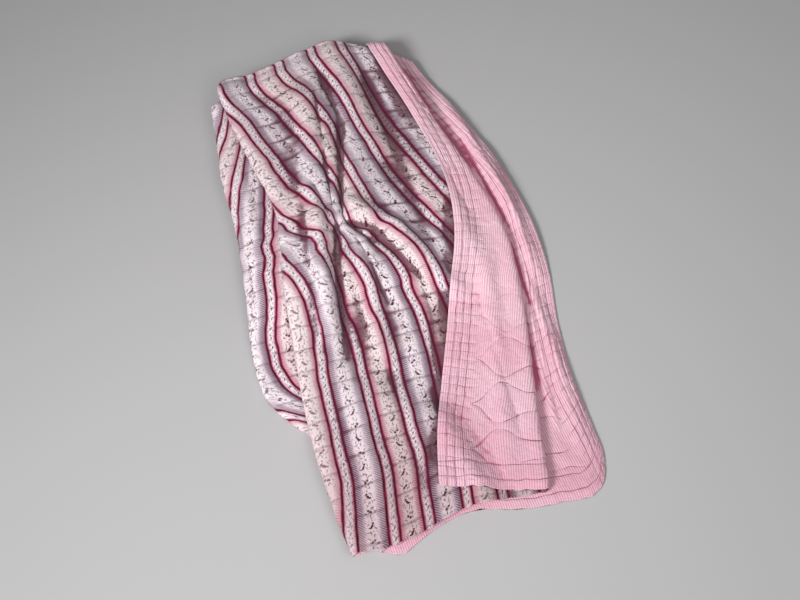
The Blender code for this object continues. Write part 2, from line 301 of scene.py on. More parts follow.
def turned_heights(across, _along):
    """Heights of the layers' middles in the turned-under end: the same all along it, flap lowest."""
    edges = section_at(CROSS_FOLD)
    floor = PUFFED / 2
    past_flap = rise(across, edges["right_fold"] + FOLD_MARGIN, SLOPE_BESIDE_FLAP)
    over_flap = rise(across, edges["flap_edge"] - SLOPE_OVER_FLAP, SLOPE_OVER_FLAP) * (1.0 - past_flap)
    body = floor + LAYER_PITCH * over_flap
    pleat = body + LAYER_PITCH
    beside_roll = rise(across, edges["roll"] - FOLD_MARGIN - SLOPE_BESIDE_ROLL, SLOPE_BESIDE_ROLL)
    strip = floor + beside_roll * (pleat + LAYER_PITCH - floor)
    carried = body + over_pleat(across, CROSS_FOLD) * (strip - body)
    beside_body = 1.0 - rise(across, edges["right_fold"] + FOLD_MARGIN, SLOPE_BESIDE_BODY)
    lower = floor + beside_body * (carried + LAYER_PITCH - floor)
    return (lower, strip, pleat, body, floor + 0.0 * across)


print("layers of the turned-under end lie at", np.round(turned_heights(0.2, 0.0), 4), "m")

# %% Heights in the part that shows
def near_heights(across, along):
    """Heights of the layers' middles in the part that shows, which lies over the turned-under end."""
    floor = PUFFED / 2
    over_turned_end = rise(along, RAMP_START, TURNED_END - RAMP_START)
    turned_lower = turned_heights(across, along)[LOWER]
    lower = floor + over_turned_end * (turned_lower + LAYER_PITCH - floor)
    lower = lower + soft_ridges(RIDGES, LOWER, across, along)
    near_fold = rise(along, CROSS_FOLD - CROSS_FOLD_LIFT_LENGTH, CROSS_FOLD_LIFT_LENGTH)
    lower = lower + CROSS_FOLD_LIFT * near_fold
    strip = lower + LAYER_PITCH + bulge(STRIP, across, along)
    pleat = strip + LAYER_PITCH
    body = lower + LAYER_PITCH + over_pleat(across, along) * (pleat - lower)
    body = body + bulge(BODY, across, along) + soft_ridges(RIDGES, BODY, across, along)
    flap = body + LAYER_PITCH + bulge(FLAP, across, along) + soft_ridges(RIDGES, FLAP, across, along)
    return (lower, strip, pleat, body, flap)


print("body's height at its middle:", round(float(near_heights(0.2, 0.3)[BODY]), 4), "m")

# %% [markdown]
# ## Drawn along, and drawn together
#
# A flat sheet could be folded with straight edges, but then every stripe would be a straight line.
# Here each point is first shifted along the stack, by the hems, the flap's lean and the cross fold,
# and the points of the body are then drawn together at the pinch.

# %% Drawing along the stack
def hem_shift(layer, across, edges):
    """How far a layer's foot hem is drawn along the stack, the same on both sides of each fold."""
    on_lower, on_body = smooth_table(LOWER_HEM, 1, across), smooth_table(BODY_HEM, 1, across)
    if layer == LOWER:
        return on_lower
    if layer == STRIP:
        share = (across - edges["left_fold"]) / (edges["pleat_fold"] - edges["left_fold"])
        at_fold = smooth_table(LOWER_HEM, 1, edges["left_fold"])
        return at_fold + (HIDDEN_HEM - at_fold) * rise(share, 0.0, 0.4)
    if layer == PLEAT:
        share = (edges["pleat_fold"] - across) / (edges["pleat_fold"] - edges["roll"])
        at_fold = smooth_table(BODY_HEM, 1, edges["roll"])
        return HIDDEN_HEM + (at_fold - HIDDEN_HEM) * rise(share, 0.5, 0.5)
    return on_body


def skew(layer, across, along, edges):
    """How far a point is drawn along the stack, at the hems, in the flap and at the cross fold."""
    at_foot = 1.0 - rise(along, 0.0, HEM_FADE)
    at_top = rise(along, CROSS_FOLD - CROSS_FOLD_SAG_LENGTH, CROSS_FOLD_SAG_LENGTH)
    drawn = at_top * smooth_table(CROSS_FOLD_SAG, 1, across)
    if layer == FLAP:
        flap_skew = FLAP_SKEW * (1.0 - rise(along, FLAP_SKEW_START, FLAP_SKEW_LENGTH))
        at_fold = hem_shift(BODY, edges["right_fold"], edges)
        return drawn + at_foot * at_fold + flap_skew * (edges["right_fold"] - across)
    return drawn + at_foot * hem_shift(layer, across, edges)


flap_edge = section_at(0.0)["flap_edge"]
print("the flap's edge is drawn along by", round(float(skew(FLAP, flap_edge, 0.0, section_at(0.0))), 3))

# %% Drawing together at the pinch
def drawn_in(layer, across, along, edges):
    """Where the points of the body lie once the pinch has drawn them in."""
    moved = across
    if layer == BODY:
        inside = rise(across, edges["roll"], GATHER_MARGIN)
        inside = inside * (1.0 - rise(across, edges["right_fold"] - GATHER_MARGIN, GATHER_MARGIN))
        for row in GATHERS:
            pinch = dict(zip(GATHER_COLUMNS, row))
            away = across - pinch["across"]
            near = hump(away, pinch["half_across"]) * hump(along - pinch["along"], pinch["half_along"])
            moved = moved - pinch["pull"] * inside * near * away
    return moved


print("a point at 0.2 m across is drawn to", round(float(drawn_in(BODY, 0.2, 0.59, section_at(0.59))), 3))

# %% [markdown]
# ## The middle of the quilt, as a grid of places
#
# A sheet folded back and forth is one long ribbon in section: flat runs with half turns between
# them. Each cotton gets its faces where it shows: the striped one in the strip and the body, the
# rose one in the lower layer's right part and the flap. A run is counted in two parts, because the
# first share of it may show while the rest is covered.

# %% Runs and rows
RUN_COLUMNS = ("layer", "start", "end", "first_share", "striped_faces", "rose_faces")
FLAT_RUNS = (
    (LOWER, "lower_edge", "left_fold", 0.30, (26, 14), (84, 18)),
    (STRIP, "left_fold", "pleat_fold", 0.68, (58, 8), (8, 3)),
    (PLEAT, "pleat_fold", "roll", 0.50, (4, 4), (4, 4)),
    (BODY, "roll", "right_fold", 0.50, (59, 59), (28, 28)),
    (FLAP, "right_fold", "flap_edge", 0.50, (5, 5), (35, 35)),
)
FOLD_FACES = 8
NEAR_FACES = {"striped_faces": 318, "rose_faces": 304}
CROSS_FOLD_FACES = 14
TURNED_FACES = 14
print("rows of faces along the stack:", NEAR_FACES)

# %% One section
def section_points(along, heights, faces_column):
    """Across, along and height of one section's points, then the place across before any pinch, and
    the layer, with the points of a half turn between two layers."""
    edges = section_at(along)
    points = []
    for number, row in enumerate(FLAT_RUNS):
        run = dict(zip(RUN_COLUMNS, row))
        first, rest = run[faces_column]
        steps = np.interp(
            np.arange(first + rest + 1), (0, first, first + rest), (0.0, run["first_share"], 1.0)
        )
        across = edges[run["start"]] + steps * (edges[run["end"]] - edges[run["start"]])
        drawn = along + skew(run["layer"], across, along, edges)
        moved = drawn_in(run["layer"], across, drawn, edges)
        height = heights(moved, drawn)[run["layer"]]
        layers = np.full_like(across, run["layer"])
        points.append(np.column_stack([moved, drawn, height, across, layers]))
        if number + 1 < len(FLAT_RUNS):
            last = points[-1][-1]
            levels = heights(last[0], last[1])
            low, high = levels[run["layer"]], levels[run["layer"] + 1]
            turn = np.pi * np.arange(1, FOLD_FACES) / FOLD_FACES
            outwards = np.sign(edges[run["end"]] - edges[run["start"]])
            around = last[0] + outwards * abs(high - low) / 2 * np.sin(turn)
            height = (low + high) / 2 - (high - low) / 2 * np.cos(turn)
            layers = run["layer"] + turn / np.pi
            drawn = np.full_like(around, last[1])
            points.append(np.column_stack([around, drawn, height, around, layers]))
    return np.concatenate(points)


print("one striped section has", len(section_points(0.3, near_heights, "striped_faces")), "points")

# %% [markdown]
# ## Round the cross fold
#
# The rows go up the part that shows, through a half circle at the cross fold and back under it. The
# cut width at each point is then measured on the grid itself, row by row, so that the print keeps
# its scale round every fold.

# %% The middle surface
def middle_of_quilt(faces_column):
    """The middle surface, the places across before any pinch, each column's layer and the lengths."""
    near = np.linspace(0.0, CROSS_FOLD, NEAR_FACES[faces_column] + 1)
    rows = [section_points(along, near_heights, faces_column) for along in near]
    lengths = [np.full(len(rows[0]), along) for along in near]
    upper, under = rows[-1], section_points(CROSS_FOLD, turned_heights, faces_column)
    radius = (upper[:, 2] - under[:, 2]) / 2
    for step in range(1, CROSS_FOLD_FACES + 1):
        turn = np.pi * step / CROSS_FOLD_FACES
        bend = upper + (1.0 - math.cos(turn)) / 2 * (under - upper)
        bend[:, 1] += radius * math.sin(turn)
        rows.append(bend)
        lengths.append(CROSS_FOLD + radius * turn)
    after_fold = lengths[-1]
    for step in range(1, TURNED_FACES + 1):
        share = step / TURNED_FACES
        row = under.copy()
        row[:, 1] += share * (TURNED_END - row[:, 1])
        rows.append(row)
        lengths.append(after_fold + share * (FLAT_LENGTH - after_fold))
    grid = np.array(rows)
    return grid[:, :, :3], grid[:, :, 3], grid[0, :, 4], np.array(lengths)


def cut_widths(middle, spread):
    """Each point's distance across the cut width, from the arc lengths of its row before any pinch."""
    steps = np.sqrt(np.diff(spread, axis=1) ** 2 + (np.diff(middle[:, :, 1:], axis=1) ** 2).sum(axis=2))
    widths = np.concatenate([np.zeros((len(middle), 1)), np.cumsum(steps, axis=1)], axis=1)
    return widths * FLAT_WIDTH / widths[:, -1:]


def surface_normals(middle):
    normals = np.cross(np.gradient(middle, axis=1), np.gradient(middle, axis=0))
    return normals / np.linalg.norm(normals, axis=2, keepdims=True)


print("rows in all:", NEAR_FACES["striped_faces"] + 1 + CROSS_FOLD_FACES + TURNED_FACES)

# %% [markdown]
# ## Uneven by nature
#
# Hand quilting is never regular, so every measure below is varied a little. uneven() is a smooth
# random field: a small table of random numbers, read between its cells. It is seeded, so that the
# quilt comes out the same each time.

# %% A smooth random field
UNEVEN_CELLS = 256


def uneven(x, y, seed):
    """Smooth random values from -1 to 1, a cell of the field for each whole step of x and y."""
    field = np.random.default_rng(seed).uniform(-1.0, 1.0, (UNEVEN_CELLS, UNEVEN_CELLS))
    x, y = np.broadcast_arrays(x, y)
    cell_x, cell_y = np.floor(x).astype(int), np.floor(y).astype(int)
    share_x, share_y = rise(x - cell_x, 0.0, 1.0), rise(y - cell_y, 0.0, 1.0)
    low_x, high_x = cell_x % UNEVEN_CELLS, (cell_x + 1) % UNEVEN_CELLS
    low_y, high_y = cell_y % UNEVEN_CELLS, (cell_y + 1) % UNEVEN_CELLS
    below = field[low_x, low_y] * (1 - share_x) + field[high_x, low_y] * share_x
    above = field[low_x, high_y] * (1 - share_x) + field[high_x, high_y] * share_x
    return below * (1 - share_y) + above * share_y


def rough(widths, lengths, measure):
    """An uneven measure of the cloth, from its size, the cells of its field and its seed."""
    size, cell_across, cell_along, seed = measure
    return size * uneven(widths / cell_across, lengths / cell_along, seed)


print("three values of the field:", np.round(uneven(np.array([0.2, 3.7, 9.1]), 0.5, 1), 2))

# %% [markdown]
# ## Rolls between the stitched lines of the striped side
#
# The stripes are the quilter's guide: a line of stitching runs along each crimson border, and the
# wide and the narrow bands puff up between them. Short lines cross the wide bands here and there.

# %% Relief of the striped side
REPEAT = 0.130
FIRST_LINE = -0.011
BAND_COLUMNS = ("start", "end", "roll_height")
BANDS = (
    (-0.011, 0.009, 0.0020),
    (0.009, 0.059, 0.0040),
    (0.059, 0.077, 0.0019),
    (0.077, 0.119, 0.0036),
)
WIDE_BAND = 0.03
STITCHED_HALF = 0.0013    # from the middle of the quilt to a stitched line
HIDDEN_CROWN = 0.52       # rolls are pressed flatter where a layer lies on them
print("bands in a repeat:", len(BANDS))

# %% [markdown]
# ## The height of a roll
#
# Wadding between two lines of stitching stands up with a flat crown and steep sides, thicker in one
# place than in the next. Beside the lines the cloth puckers, because the thread is drawn tight.

# %% Bands and cross lines
CROSS_LINE_PITCH = 0.046
CROSS_LINE_STAGGER = 0.37 # in pitches, from the lines of one band to those of the next
CROSS_LINE_JITTER = 0.015
CROSS_LINE_DEPTH = 0.0011
CROSS_LINE_HALF_WIDTH = 0.0040


def band_of(widths):
    """Each point's band, counted over all repeats, the band's width, the share across it, its roll."""
    bands = dict(zip(BAND_COLUMNS, np.array(BANDS).T))
    place = np.mod(widths - FIRST_LINE, REPEAT) + FIRST_LINE
    repeat = np.floor((widths - FIRST_LINE) / REPEAT)
    number = np.clip(np.searchsorted(bands["start"], place, side="right") - 1, 0, len(BANDS) - 1)
    start, end = bands["start"][number], bands["end"][number]
    share = (place - start) / (end - start)
    return repeat * len(BANDS) + number, end - start, share, bands["roll_height"][number]


def cross_lines(band, lengths):
    """Closeness, from 0 to 1, to the nearest of the short lines stitched across a wide band."""
    step = lengths / CROSS_LINE_PITCH + CROSS_LINE_STAGGER * band
    near = 0.0
    for neighbour in (-1, 0, 1):
        line = np.floor(step) + neighbour
        jitter = uneven(line + 0.5, band * 3.0 + 0.5, 11) * CROSS_LINE_JITTER
        distance = (step - line) * CROSS_LINE_PITCH - CROSS_LINE_PITCH / 2 - jitter
        near = np.maximum(near, hump(distance, CROSS_LINE_HALF_WIDTH))
    return near


print("bands in the cut width:", int(band_of(np.array([FLAT_WIDTH]))[0][0]) + 1)

# %% Rolls
CROWN_SQUARENESS = 2.6    # 2 would be a round crown, and more is flatter on top
SWELL_SHARE = 0.22
SWELL_LENGTH = 0.045
PUCKER_HEIGHT = 0.0006
PUCKER_PITCH = 0.0105
PUCKER_DRIFT = 1.3        # in pitches
PUCKER_DRIFT_LENGTH = 0.03
PUCKER_REACH = 0.007      # from the stitched line
LINE_WANDER = (0.0007, 0.050, 0.022, 3)          # size, cell across, cell along, seed
STRIPED_CRUMPLE = (0.0006, 0.015, 0.012, 6)


def striped_relief(widths, lengths):
    """From the middle of the quilt to the striped face, and how close each point is to a cross line."""
    wander = rough(widths, lengths, LINE_WANDER)
    band, band_width, share, roll_height = band_of(widths + wander)
    from_middle = np.abs(2.0 * share - 1.0)
    crown = np.maximum(1.0 - from_middle**CROWN_SQUARENESS, 0.0) ** 0.5
    swell = 1.0 + SWELL_SHARE * uneven(band * 7.0 + 0.3, lengths / SWELL_LENGTH, 4)
    crossing = cross_lines(band, lengths) * (band_width > WIDE_BAND)
    height = roll_height * crown * swell - CROSS_LINE_DEPTH * crossing * crown
    near_line = hump((1.0 - from_middle) * band_width / 2, PUCKER_REACH)
    drift = PUCKER_DRIFT * uneven(band * 5.0, lengths / PUCKER_DRIFT_LENGTH, 5)
    pucker = PUCKER_HEIGHT * np.sin(2 * np.pi * (lengths / PUCKER_PITCH + drift))
    crumple = rough(widths, lengths, STRIPED_CRUMPLE)
    return STITCHED_HALF + height + (pucker * near_line + crumple) * crown, crossing


roll_heights = striped_relief(np.linspace(0.0, REPEAT, 200), np.full(200, 0.3))[0]
print("rolls stand up to", round(float(roll_heights.max()), 4), "m from the middle of the quilt")

# %% [markdown]
# ## Stitched lines of the rose side
#
# The rose side shows the needle's path best. Three lines follow the long edges and two follow the
# hems. Rungs run in from the edges, and waves that swell towards and away from each other cross the
# field near the foot. All are sums on the cut distances, so relief and colour share them.

# %% Lines of the rose side
EDGE_LINES = (0.013, 0.026, 0.040)
HEM_LINES = (0.015, 0.041)
BORDER_HALF_WIDTH = 0.0028
BORDER_DEPTH = 0.0008
LINE_HALF_WIDTH = 0.0032
ROSE_HALF = 0.0042        # from the middle of the quilt to the rose face
LINE_FADE = 0.006         # from where a line ends to where it is at its full depth
RUNG_PITCH = 0.0190
RUNG_SLANT = 0.20         # a rung runs towards the foot a little as it goes in from the edge
RUNG_SWAY = 0.005
RUNG_SWAY_LENGTH = 0.23
RUNG_REACH = 0.056
RUNG_FADE = 0.016
RUNG_DEPTH = 0.0007
WAVE_PITCH = 0.044
WAVE_SWING = 0.014
WAVE_LENGTH = 0.128
RIPPLE_SHARE = 0.45       # a shorter wave on each, so that no two swellings are the same
RIPPLE_LENGTH = 0.079
WAVE_START = 0.050        # from the side edges
WAVE_DEPTH = 0.0010
WAVES_FULL = 0.20
WAVES_GONE = 0.46         # above this the field is plain


def rung_distance(from_side, lengths):
    sway = RUNG_SWAY * np.sin(2 * np.pi * lengths / RUNG_SWAY_LENGTH)
    step = (lengths + RUNG_SLANT * from_side + sway) / RUNG_PITCH
    return np.abs(step - np.rint(step)) * RUNG_PITCH


def wave_distance(widths, lengths):
    """Distance, along the cloth, to the nearest of two sets of waves that mirror each other."""
    ripple = RIPPLE_SHARE * np.sin(2 * np.pi * widths / RIPPLE_LENGTH)
    swing = WAVE_SWING * (np.sin(2 * np.pi * widths / WAVE_LENGTH) + ripple)
    nearest = 1.0
    for step in ((lengths - swing) / WAVE_PITCH / 2, (lengths + swing) / WAVE_PITCH / 2 + 0.5):
        nearest = np.minimum(nearest, np.abs(step - np.rint(step)) * 2 * WAVE_PITCH)
    return nearest


print("rungs every", RUNG_PITCH, "m, waves every", WAVE_PITCH, "m")

# %% Relief of the rose side
HEM_LINE_WANDER = 1.6     # the lines along the hems wander more than those along the side edges
ROSE_WANDER = (0.0012, 0.040, 0.028, 31)         # size, cell across, cell along, seed
ROSE_CRUMPLES = ((0.00070, 0.016, 0.024, 33), (0.00045, 0.007, 0.009, 34))


def rose_relief(widths, lengths):
    """From the middle of the quilt to the rose face, and how close each point is to a wave."""
    from_side = np.minimum(widths, FLAT_WIDTH - widths)
    from_hem = np.minimum(lengths, FLAT_LENGTH - lengths)
    wander = rough(widths, lengths, ROSE_WANDER)
    in_field = rise(from_side, WAVE_START, LINE_FADE) * rise(from_hem, HEM_LINES[-1], LINE_FADE)
    in_field = in_field * (1.0 - rise(lengths, WAVES_FULL, WAVES_GONE - WAVES_FULL))
    waves = hump(wave_distance(widths, lengths), LINE_HALF_WIDTH) * in_field
    rungs = hump(rung_distance(from_side, lengths), LINE_HALF_WIDTH)
    rungs = rungs * (1.0 - rise(from_side, RUNG_REACH - RUNG_FADE / 2, RUNG_FADE))
    border = 0.0
    for line in EDGE_LINES:
        border = np.maximum(border, hump(from_side + wander - line, BORDER_HALF_WIDTH))
    for line in HEM_LINES:
        border = np.maximum(border, hump(from_hem + HEM_LINE_WANDER * wander - line, BORDER_HALF_WIDTH))
    sunk = np.maximum(WAVE_DEPTH * waves, BORDER_DEPTH * border) + RUNG_DEPTH * rungs
    crumple = sum(rough(widths, lengths, measure) for measure in ROSE_CRUMPLES)
    return ROSE_HALF + crumple - sunk, waves


rose_heights = rose_relief(np.linspace(0.0, FLAT_WIDTH, 200), np.full(200, 0.1))[0]
print("the rose face stands", np.round((rose_heights.min(), rose_heights.max()), 4), "m from the middle")

# %% [markdown]
# ## Creases listed one by one
#
# Some folds are there because of how the cloth was dropped, and no rule gives them. They are
# listed one by one: where each starts and ends, how far it stands up (or goes down, where the
# number is negative), and how wide it is. The deepest run out from the pinch in the body, and a
# row of them sinks the stripes along the flap's edge.

# %% Creases
CREASES = (
    (STRIP, -0.020, 0.80, -0.034, 0.50, -0.0040, 0.006),
    (STRIP, 0.006, 0.78, -0.008, 0.52, 0.0040, 0.009),
    (BODY, 0.148, 0.592, 0.122, 0.515, -0.0150, 0.007),
    (BODY, 0.126, 0.530, 0.086, 0.330, -0.0100, 0.009),
    (BODY, 0.158, 0.594, 0.216, 0.566, -0.0150, 0.007),
    (BODY, 0.206, 0.574, 0.264, 0.450, -0.0110, 0.009),
    (BODY, 0.140, 0.560, 0.118, 0.490, -0.0060, 0.004),
    (BODY, 0.164, 0.588, 0.204, 0.540, -0.0070, 0.005),
    (BODY, 0.170, 0.090, 0.240, 0.250, -0.0090, 0.024),
    (BODY, 0.240, 0.250, 0.314, 0.420, -0.0110, 0.026),
    (BODY, 0.314, 0.420, 0.374, 0.600, -0.0080, 0.022),
    (BODY, 0.258, 0.460, 0.262, 0.320, -0.0040, 0.010),
    (BODY, 0.160, 0.600, 0.184, 0.690, -0.0100, 0.008),
    (BODY, 0.180, 0.680, 0.222, 0.820, -0.0070, 0.009),
    (BODY, 0.220, 0.810, 0.212, 0.950, -0.0050, 0.010),
    (BODY, 0.145, 0.615, 0.166, 0.750, -0.0060, 0.006),
    (BODY, 0.165, 0.745, 0.190, 0.900, -0.0040, 0.007),
    (BODY, 0.136, 0.610, 0.126, 0.690, -0.0050, 0.006),
    (BODY, 0.170, 0.575, 0.190, 0.420, -0.0060, 0.007),
    (BODY, 0.150, 0.340, 0.140, 0.050, -0.0035, 0.010),
    (BODY, 0.245, 0.360, 0.255, 0.100, -0.0035, 0.012),
    (FLAP, 0.375, 0.790, 0.394, 0.560, -0.0025, 0.006),
    (FLAP, 0.352, 0.400, 0.330, 0.100, -0.0020, 0.007),
    (LOWER, 0.440, 0.860, 0.482, 0.520, 0.0080, 0.012),
    (LOWER, 0.455, 0.800, 0.480, 0.500, 0.0045, 0.005),
    (LOWER, 0.440, 0.780, 0.462, 0.500, -0.0030, 0.006),
    (LOWER, 0.452, 0.500, 0.436, 0.240, -0.0020, 0.005),
    (LOWER, 0.440, 0.460, 0.418, 0.200, 0.0040, 0.005),
    (LOWER, 0.458, 0.460, 0.440, 0.180, 0.0040, 0.005),
    (LOWER, 0.424, 0.340, 0.396, 0.100, 0.0035, 0.005),
    (LOWER, 0.462, 0.380, 0.448, 0.120, 0.0030, 0.006),
)
print(len(CREASES), "creases")

# %% Adding the creases
LOWEST_MIDDLE = 0.0018    # no crease takes the middle of the quilt nearer to the floor than this
BODY_ON_LOWER = 0.0026    # nor the body's middle nearer to the middle of what lies under it
LEAST_RELIEF = 0.0006


def under_body(across, along):
    """Height of the middle of what the body lies on: the lower layer, and the pleat beside the roll."""
    heights = near_heights(across, along)
    return heights[LOWER] + over_pleat(across, along) * (heights[PLEAT] - heights[LOWER])


def creased(middle, layers):
    """The middle surface with the creases added, which carry on from layer to layer round a fold."""
    shifts = np.zeros(middle.shape[:2])
    near_part = np.arange(len(middle))[:, None] < len(middle) - TURNED_FACES - CROSS_FOLD_FACES // 2
    for layer in sorted({row[0] for row in CREASES}):
        columns = layers == layer
        across, along, height = middle[:, columns].transpose(2, 0, 1)
        raised = height + soft_ridges(CREASES, layer, across, along)
        if layer == BODY:
            raised = np.maximum(raised, under_body(across, along) + BODY_ON_LOWER)
        shifts[:, columns] = (np.maximum(raised, LOWEST_MIDDLE) - height) * near_part
    for lower in range(LOWER, FLAP):
        turn = np.flatnonzero((layers > lower) & (layers < lower + 1))
        share = layers[turn] - lower
        before, after = shifts[:, turn[0] - 1, None], shifts[:, turn[-1] + 1, None]
        shifts[:, turn] = before * (1.0 - share) + after * share
    middle = middle.copy()
    middle[:, :, 2] += shifts
    return middle


stands_up = [row[5] for row in CREASES if row[5] > 0]
print(len(stands_up), "creases stand up, and", len(CREASES) - len(stands_up), "go down")

# %% [markdown]
# ## From the grid to a sheet
#
# Both cottons turn in at the edges and meet in the seam. A few extra rows and columns round every
# free edge go through a quarter turn, from the face to the seam in the middle of the thickness.
# The corners are drawn in to quarter circles, wide ones at the lower layer and small at the flap.

# %% Rim and corners
RIM_FACES = 3
SEAM_GAP = 0.00015        # from the middle of the quilt to each cotton's turned-in edge
LOWER_CORNER = 0.034      # how far the corners are rounded
FLAP_CORNER = 0.008


def with_rim(values):
    """The grid with its edge rows and columns repeated, to be turned round the edge."""
    sides = ((RIM_FACES, RIM_FACES), (RIM_FACES, RIM_FACES)) + ((0, 0),) * (values.ndim - 2)
    return np.pad(values, sides, mode="edge")


def rim_turns(count):
    """How far each row or column is turned round the edge, as an angle: negative at the start."""
    turns = np.zeros(count + 2 * RIM_FACES)
    steps = np.arange(1, RIM_FACES + 1) / RIM_FACES * np.pi / 2
    turns[:RIM_FACES] = -steps[::-1]
    turns[-RIM_FACES:] = steps
    return turns


def unit(vectors):
    return vectors / np.maximum(np.linalg.norm(vectors, axis=-1, keepdims=True), 1e-9)


print("every edge turns in through", RIM_FACES, "faces")

# %% Rounding the corners and turning the edges in
def rounded_corners(middle, from_side, from_hem, left, foot, rightwards, upwards):
    """The middle surface with its four corners drawn in to quarter circles."""
    radius = np.where(left, LOWER_CORNER, FLAP_CORNER)
    inwards_x = np.maximum(1.0 - from_side / radius, 0.0)
    inwards_y = np.maximum(1.0 - from_hem / radius, 0.0)
    share = np.maximum(inwards_x, inwards_y) / np.maximum(np.hypot(inwards_x, inwards_y), 1e-9)
    both = (inwards_x > 0) & (inwards_y > 0)
    drawn = np.where(both, 1.0 - share, 0.0) * radius
    move_x = (drawn * inwards_x * np.where(left, 1, -1))[:, :, None]
    move_y = (drawn * inwards_y * np.where(foot, 1, -1))[:, :, None]
    return middle + move_x * rightwards + move_y * upwards


def turned_at_edges(middle, relief, normals, rightwards, upwards):
    """The face's points, with extra rows and columns that turn it in round the edges to the seam."""
    turn_across = rim_turns(middle.shape[1])[None, :, None]
    turn_along = rim_turns(middle.shape[0])[:, None, None]
    turn = np.maximum(np.abs(turn_across), np.abs(turn_along))
    outwards = unit(np.sin(turn_across) * with_rim(rightwards) + np.sin(turn_along) * with_rim(upwards))
    height = with_rim(relief)[:, :, None]
    places = with_rim(middle) + with_rim(normals) * (SEAM_GAP + (height - SEAM_GAP) * np.cos(turn))
    places = places + outwards * height * np.sin(turn)
    places[:, :, 2] = np.where(places[:, :, 2] < FLOOR_GRIP, 0.0, places[:, :, 2])
    return places


print("corners are rounded by", LOWER_CORNER, "m at the lower layer and", FLAP_CORNER, "m at the flap")

# %% [markdown]
# ## Hollows, crests and nooks
#
# Deep in a fold shade is painted into the colour, because little light gets in, and on a crest a paler
# highlight is painted. So each point gets a number: how far it lies below the average height round it,
# or above it. Beside the right fold and the flap's edge, and along the deepest folds, the number is
# raised from listed rows of painted shade, because the grid is too coarse to show how deep they are.

# %% Hollows and crests
WIDE_HOLLOW = 9           # in points of the grid
WIDE_HOLLOW_DEPTH = 0.0075
NARROW_HOLLOW = 2.5
NARROW_HOLLOW_DEPTH = 0.0028


def softened(values, spread):
    """The values with each point averaged with its neighbours, a bell curve of this many points."""
    reach = int(3 * spread)
    weights = hump(np.arange(-reach, reach + 1), spread * math.sqrt(2))
    weights = weights / weights.sum()
    for axis in (0, 1):
        values = np.pad(values, [(reach, reach) if a == axis else (0, 0) for a in (0, 1)], mode="edge")
        values = np.apply_along_axis(np.convolve, axis, values, weights, "valid")
    return values


def hollows(places):
    """How far each point lies in a hollow, above 0, or on a crest, below 0, up to 1 each way."""
    height = places[:, :, 2]
    wide = (softened(height, WIDE_HOLLOW) - height) / WIDE_HOLLOW_DEPTH
    narrow = (softened(height, NARROW_HOLLOW) - height) / NARROW_HOLLOW_DEPTH
    return np.clip(wide + narrow, -1.0, 1.0)


print("heights are compared over", WIDE_HOLLOW, "and over", NARROW_HOLLOW, "points")

# %% Nooks and deep folds
# Painted shade along the deepest folds.
DEEP_FOLDS = (             # read as the creases are, with a share of depth for the height
    (LOWER, 0.374, 0.970, 0.406, 0.810, 0.90, 0.014),
    (LOWER, 0.406, 0.810, 0.436, 0.660, 1.00, 0.015),
    (LOWER, 0.450, 0.480, 0.438, 0.380, 0.70, 0.010),
    (LOWER, 0.436, 0.380, 0.392, 0.180, 0.80, 0.012),
    (BODY, 0.205, 0.940, 0.165, 0.660, 0.62, 0.036),
    (BODY, 0.335, 0.900, 0.310, 0.620, 0.42, 0.034),
    (BODY, 0.152, 0.600, 0.128, 0.500, 0.70, 0.012),
    (BODY, 0.165, 0.590, 0.225, 0.555, 0.70, 0.012),
    (BODY, 0.186, 0.540, 0.168, 0.380, 0.45, 0.010),
)
NOOK_COLUMNS = ("layer", "edge_layer", "way", "offset", "half_width", "depth")
# Painted shade beside the right fold and beside the flap's edge.
NOOKS = (
    (LOWER, FLAP - 0.5, 1, 0.003, 0.007, 0.5),       # beside the right fold
    (BODY, FLAP, -1, 0.0, 0.021, 1.2),               # beside the flap's edge
)
NOOK_START = 0.004        # below the foot hem of the layer above
NOOK_FADE = 0.012


def painted_nook_and_fold_shade(middle, layers):
    """How much painted shade each point gets: in the nook beside the layer above it, or in one of the
    deep folds.
    """
    nook = np.zeros(middle.shape[:2])
    across, along = middle[:, :, 0], middle[:, :, 1]
    near = len(middle) - TURNED_FACES - CROSS_FOLD_FACES
    for row in NOOKS:
        place = dict(zip(NOOK_COLUMNS, row))
        distance = np.abs(layers - place["edge_layer"])
        edge_column = np.flatnonzero(np.isclose(distance, distance.min()))[-1]
        edge = middle[:near, edge_column]
        away = (across - np.interp(along, edge[:, 1], edge[:, 0])) * place["way"] - place["offset"]
        above_foot = rise(along, edge[0, 1] - NOOK_START, NOOK_FADE)
        columns = layers == place["layer"]
        nook[:, columns] = (place["depth"] * above_foot * hump(away, place["half_width"]))[:, columns]
    for layer in (LOWER, BODY):
        columns = layers == layer
        nook[:, columns] += soft_ridges(DEEP_FOLDS, layer, across[:, columns], along[:, columns])
    return nook


print(len(NOOKS), "nooks and", len(DEEP_FOLDS), "deep folds")

# %% [markdown]
# ## Placing the points of each cotton
#
# Each cotton takes the creased middle surface and adds the relief of its own side. The relief is
# pressed flatter where another layer covers it and thins out towards the edges, and the foot hem is
# drawn in a little at each stitched line. Both cottons are then leaned and centred together.

# %% Where a cotton is covered
COVER_MARGIN = 0.02       # inside the right fold, over which the lower layer comes into view


def covered_share(side, layers, spread, lengths):
    """How far each point is covered by another layer of the quilt, from 0 to 1."""
    shown = (STRIP, BODY) if side == STRIPED else (LOWER, FLAP)
    covered = rise(np.min([np.abs(layers - layer) for layer in shown], axis=0), 0.3, 0.7)
    right_fold = section_at(lengths[:, :1])["right_fold"]
    under_fold = 1.0 - rise(spread, right_fold - COVER_MARGIN, COVER_MARGIN)
    return np.maximum(covered, under_fold * (layers < 0.5))


print("the stripes show in layers", (STRIP, BODY), "and the rose in layers", (LOWER, FLAP))

# %% Points of each cotton
SIDES = {STRIPED: ("striped_faces", striped_relief), ROSE: ("rose_faces", rose_relief)}
HEM_SCALLOP = 0.0022      # how far the foot hem is drawn in at the stitched lines
HEM_SCALLOP_FADE = 0.03


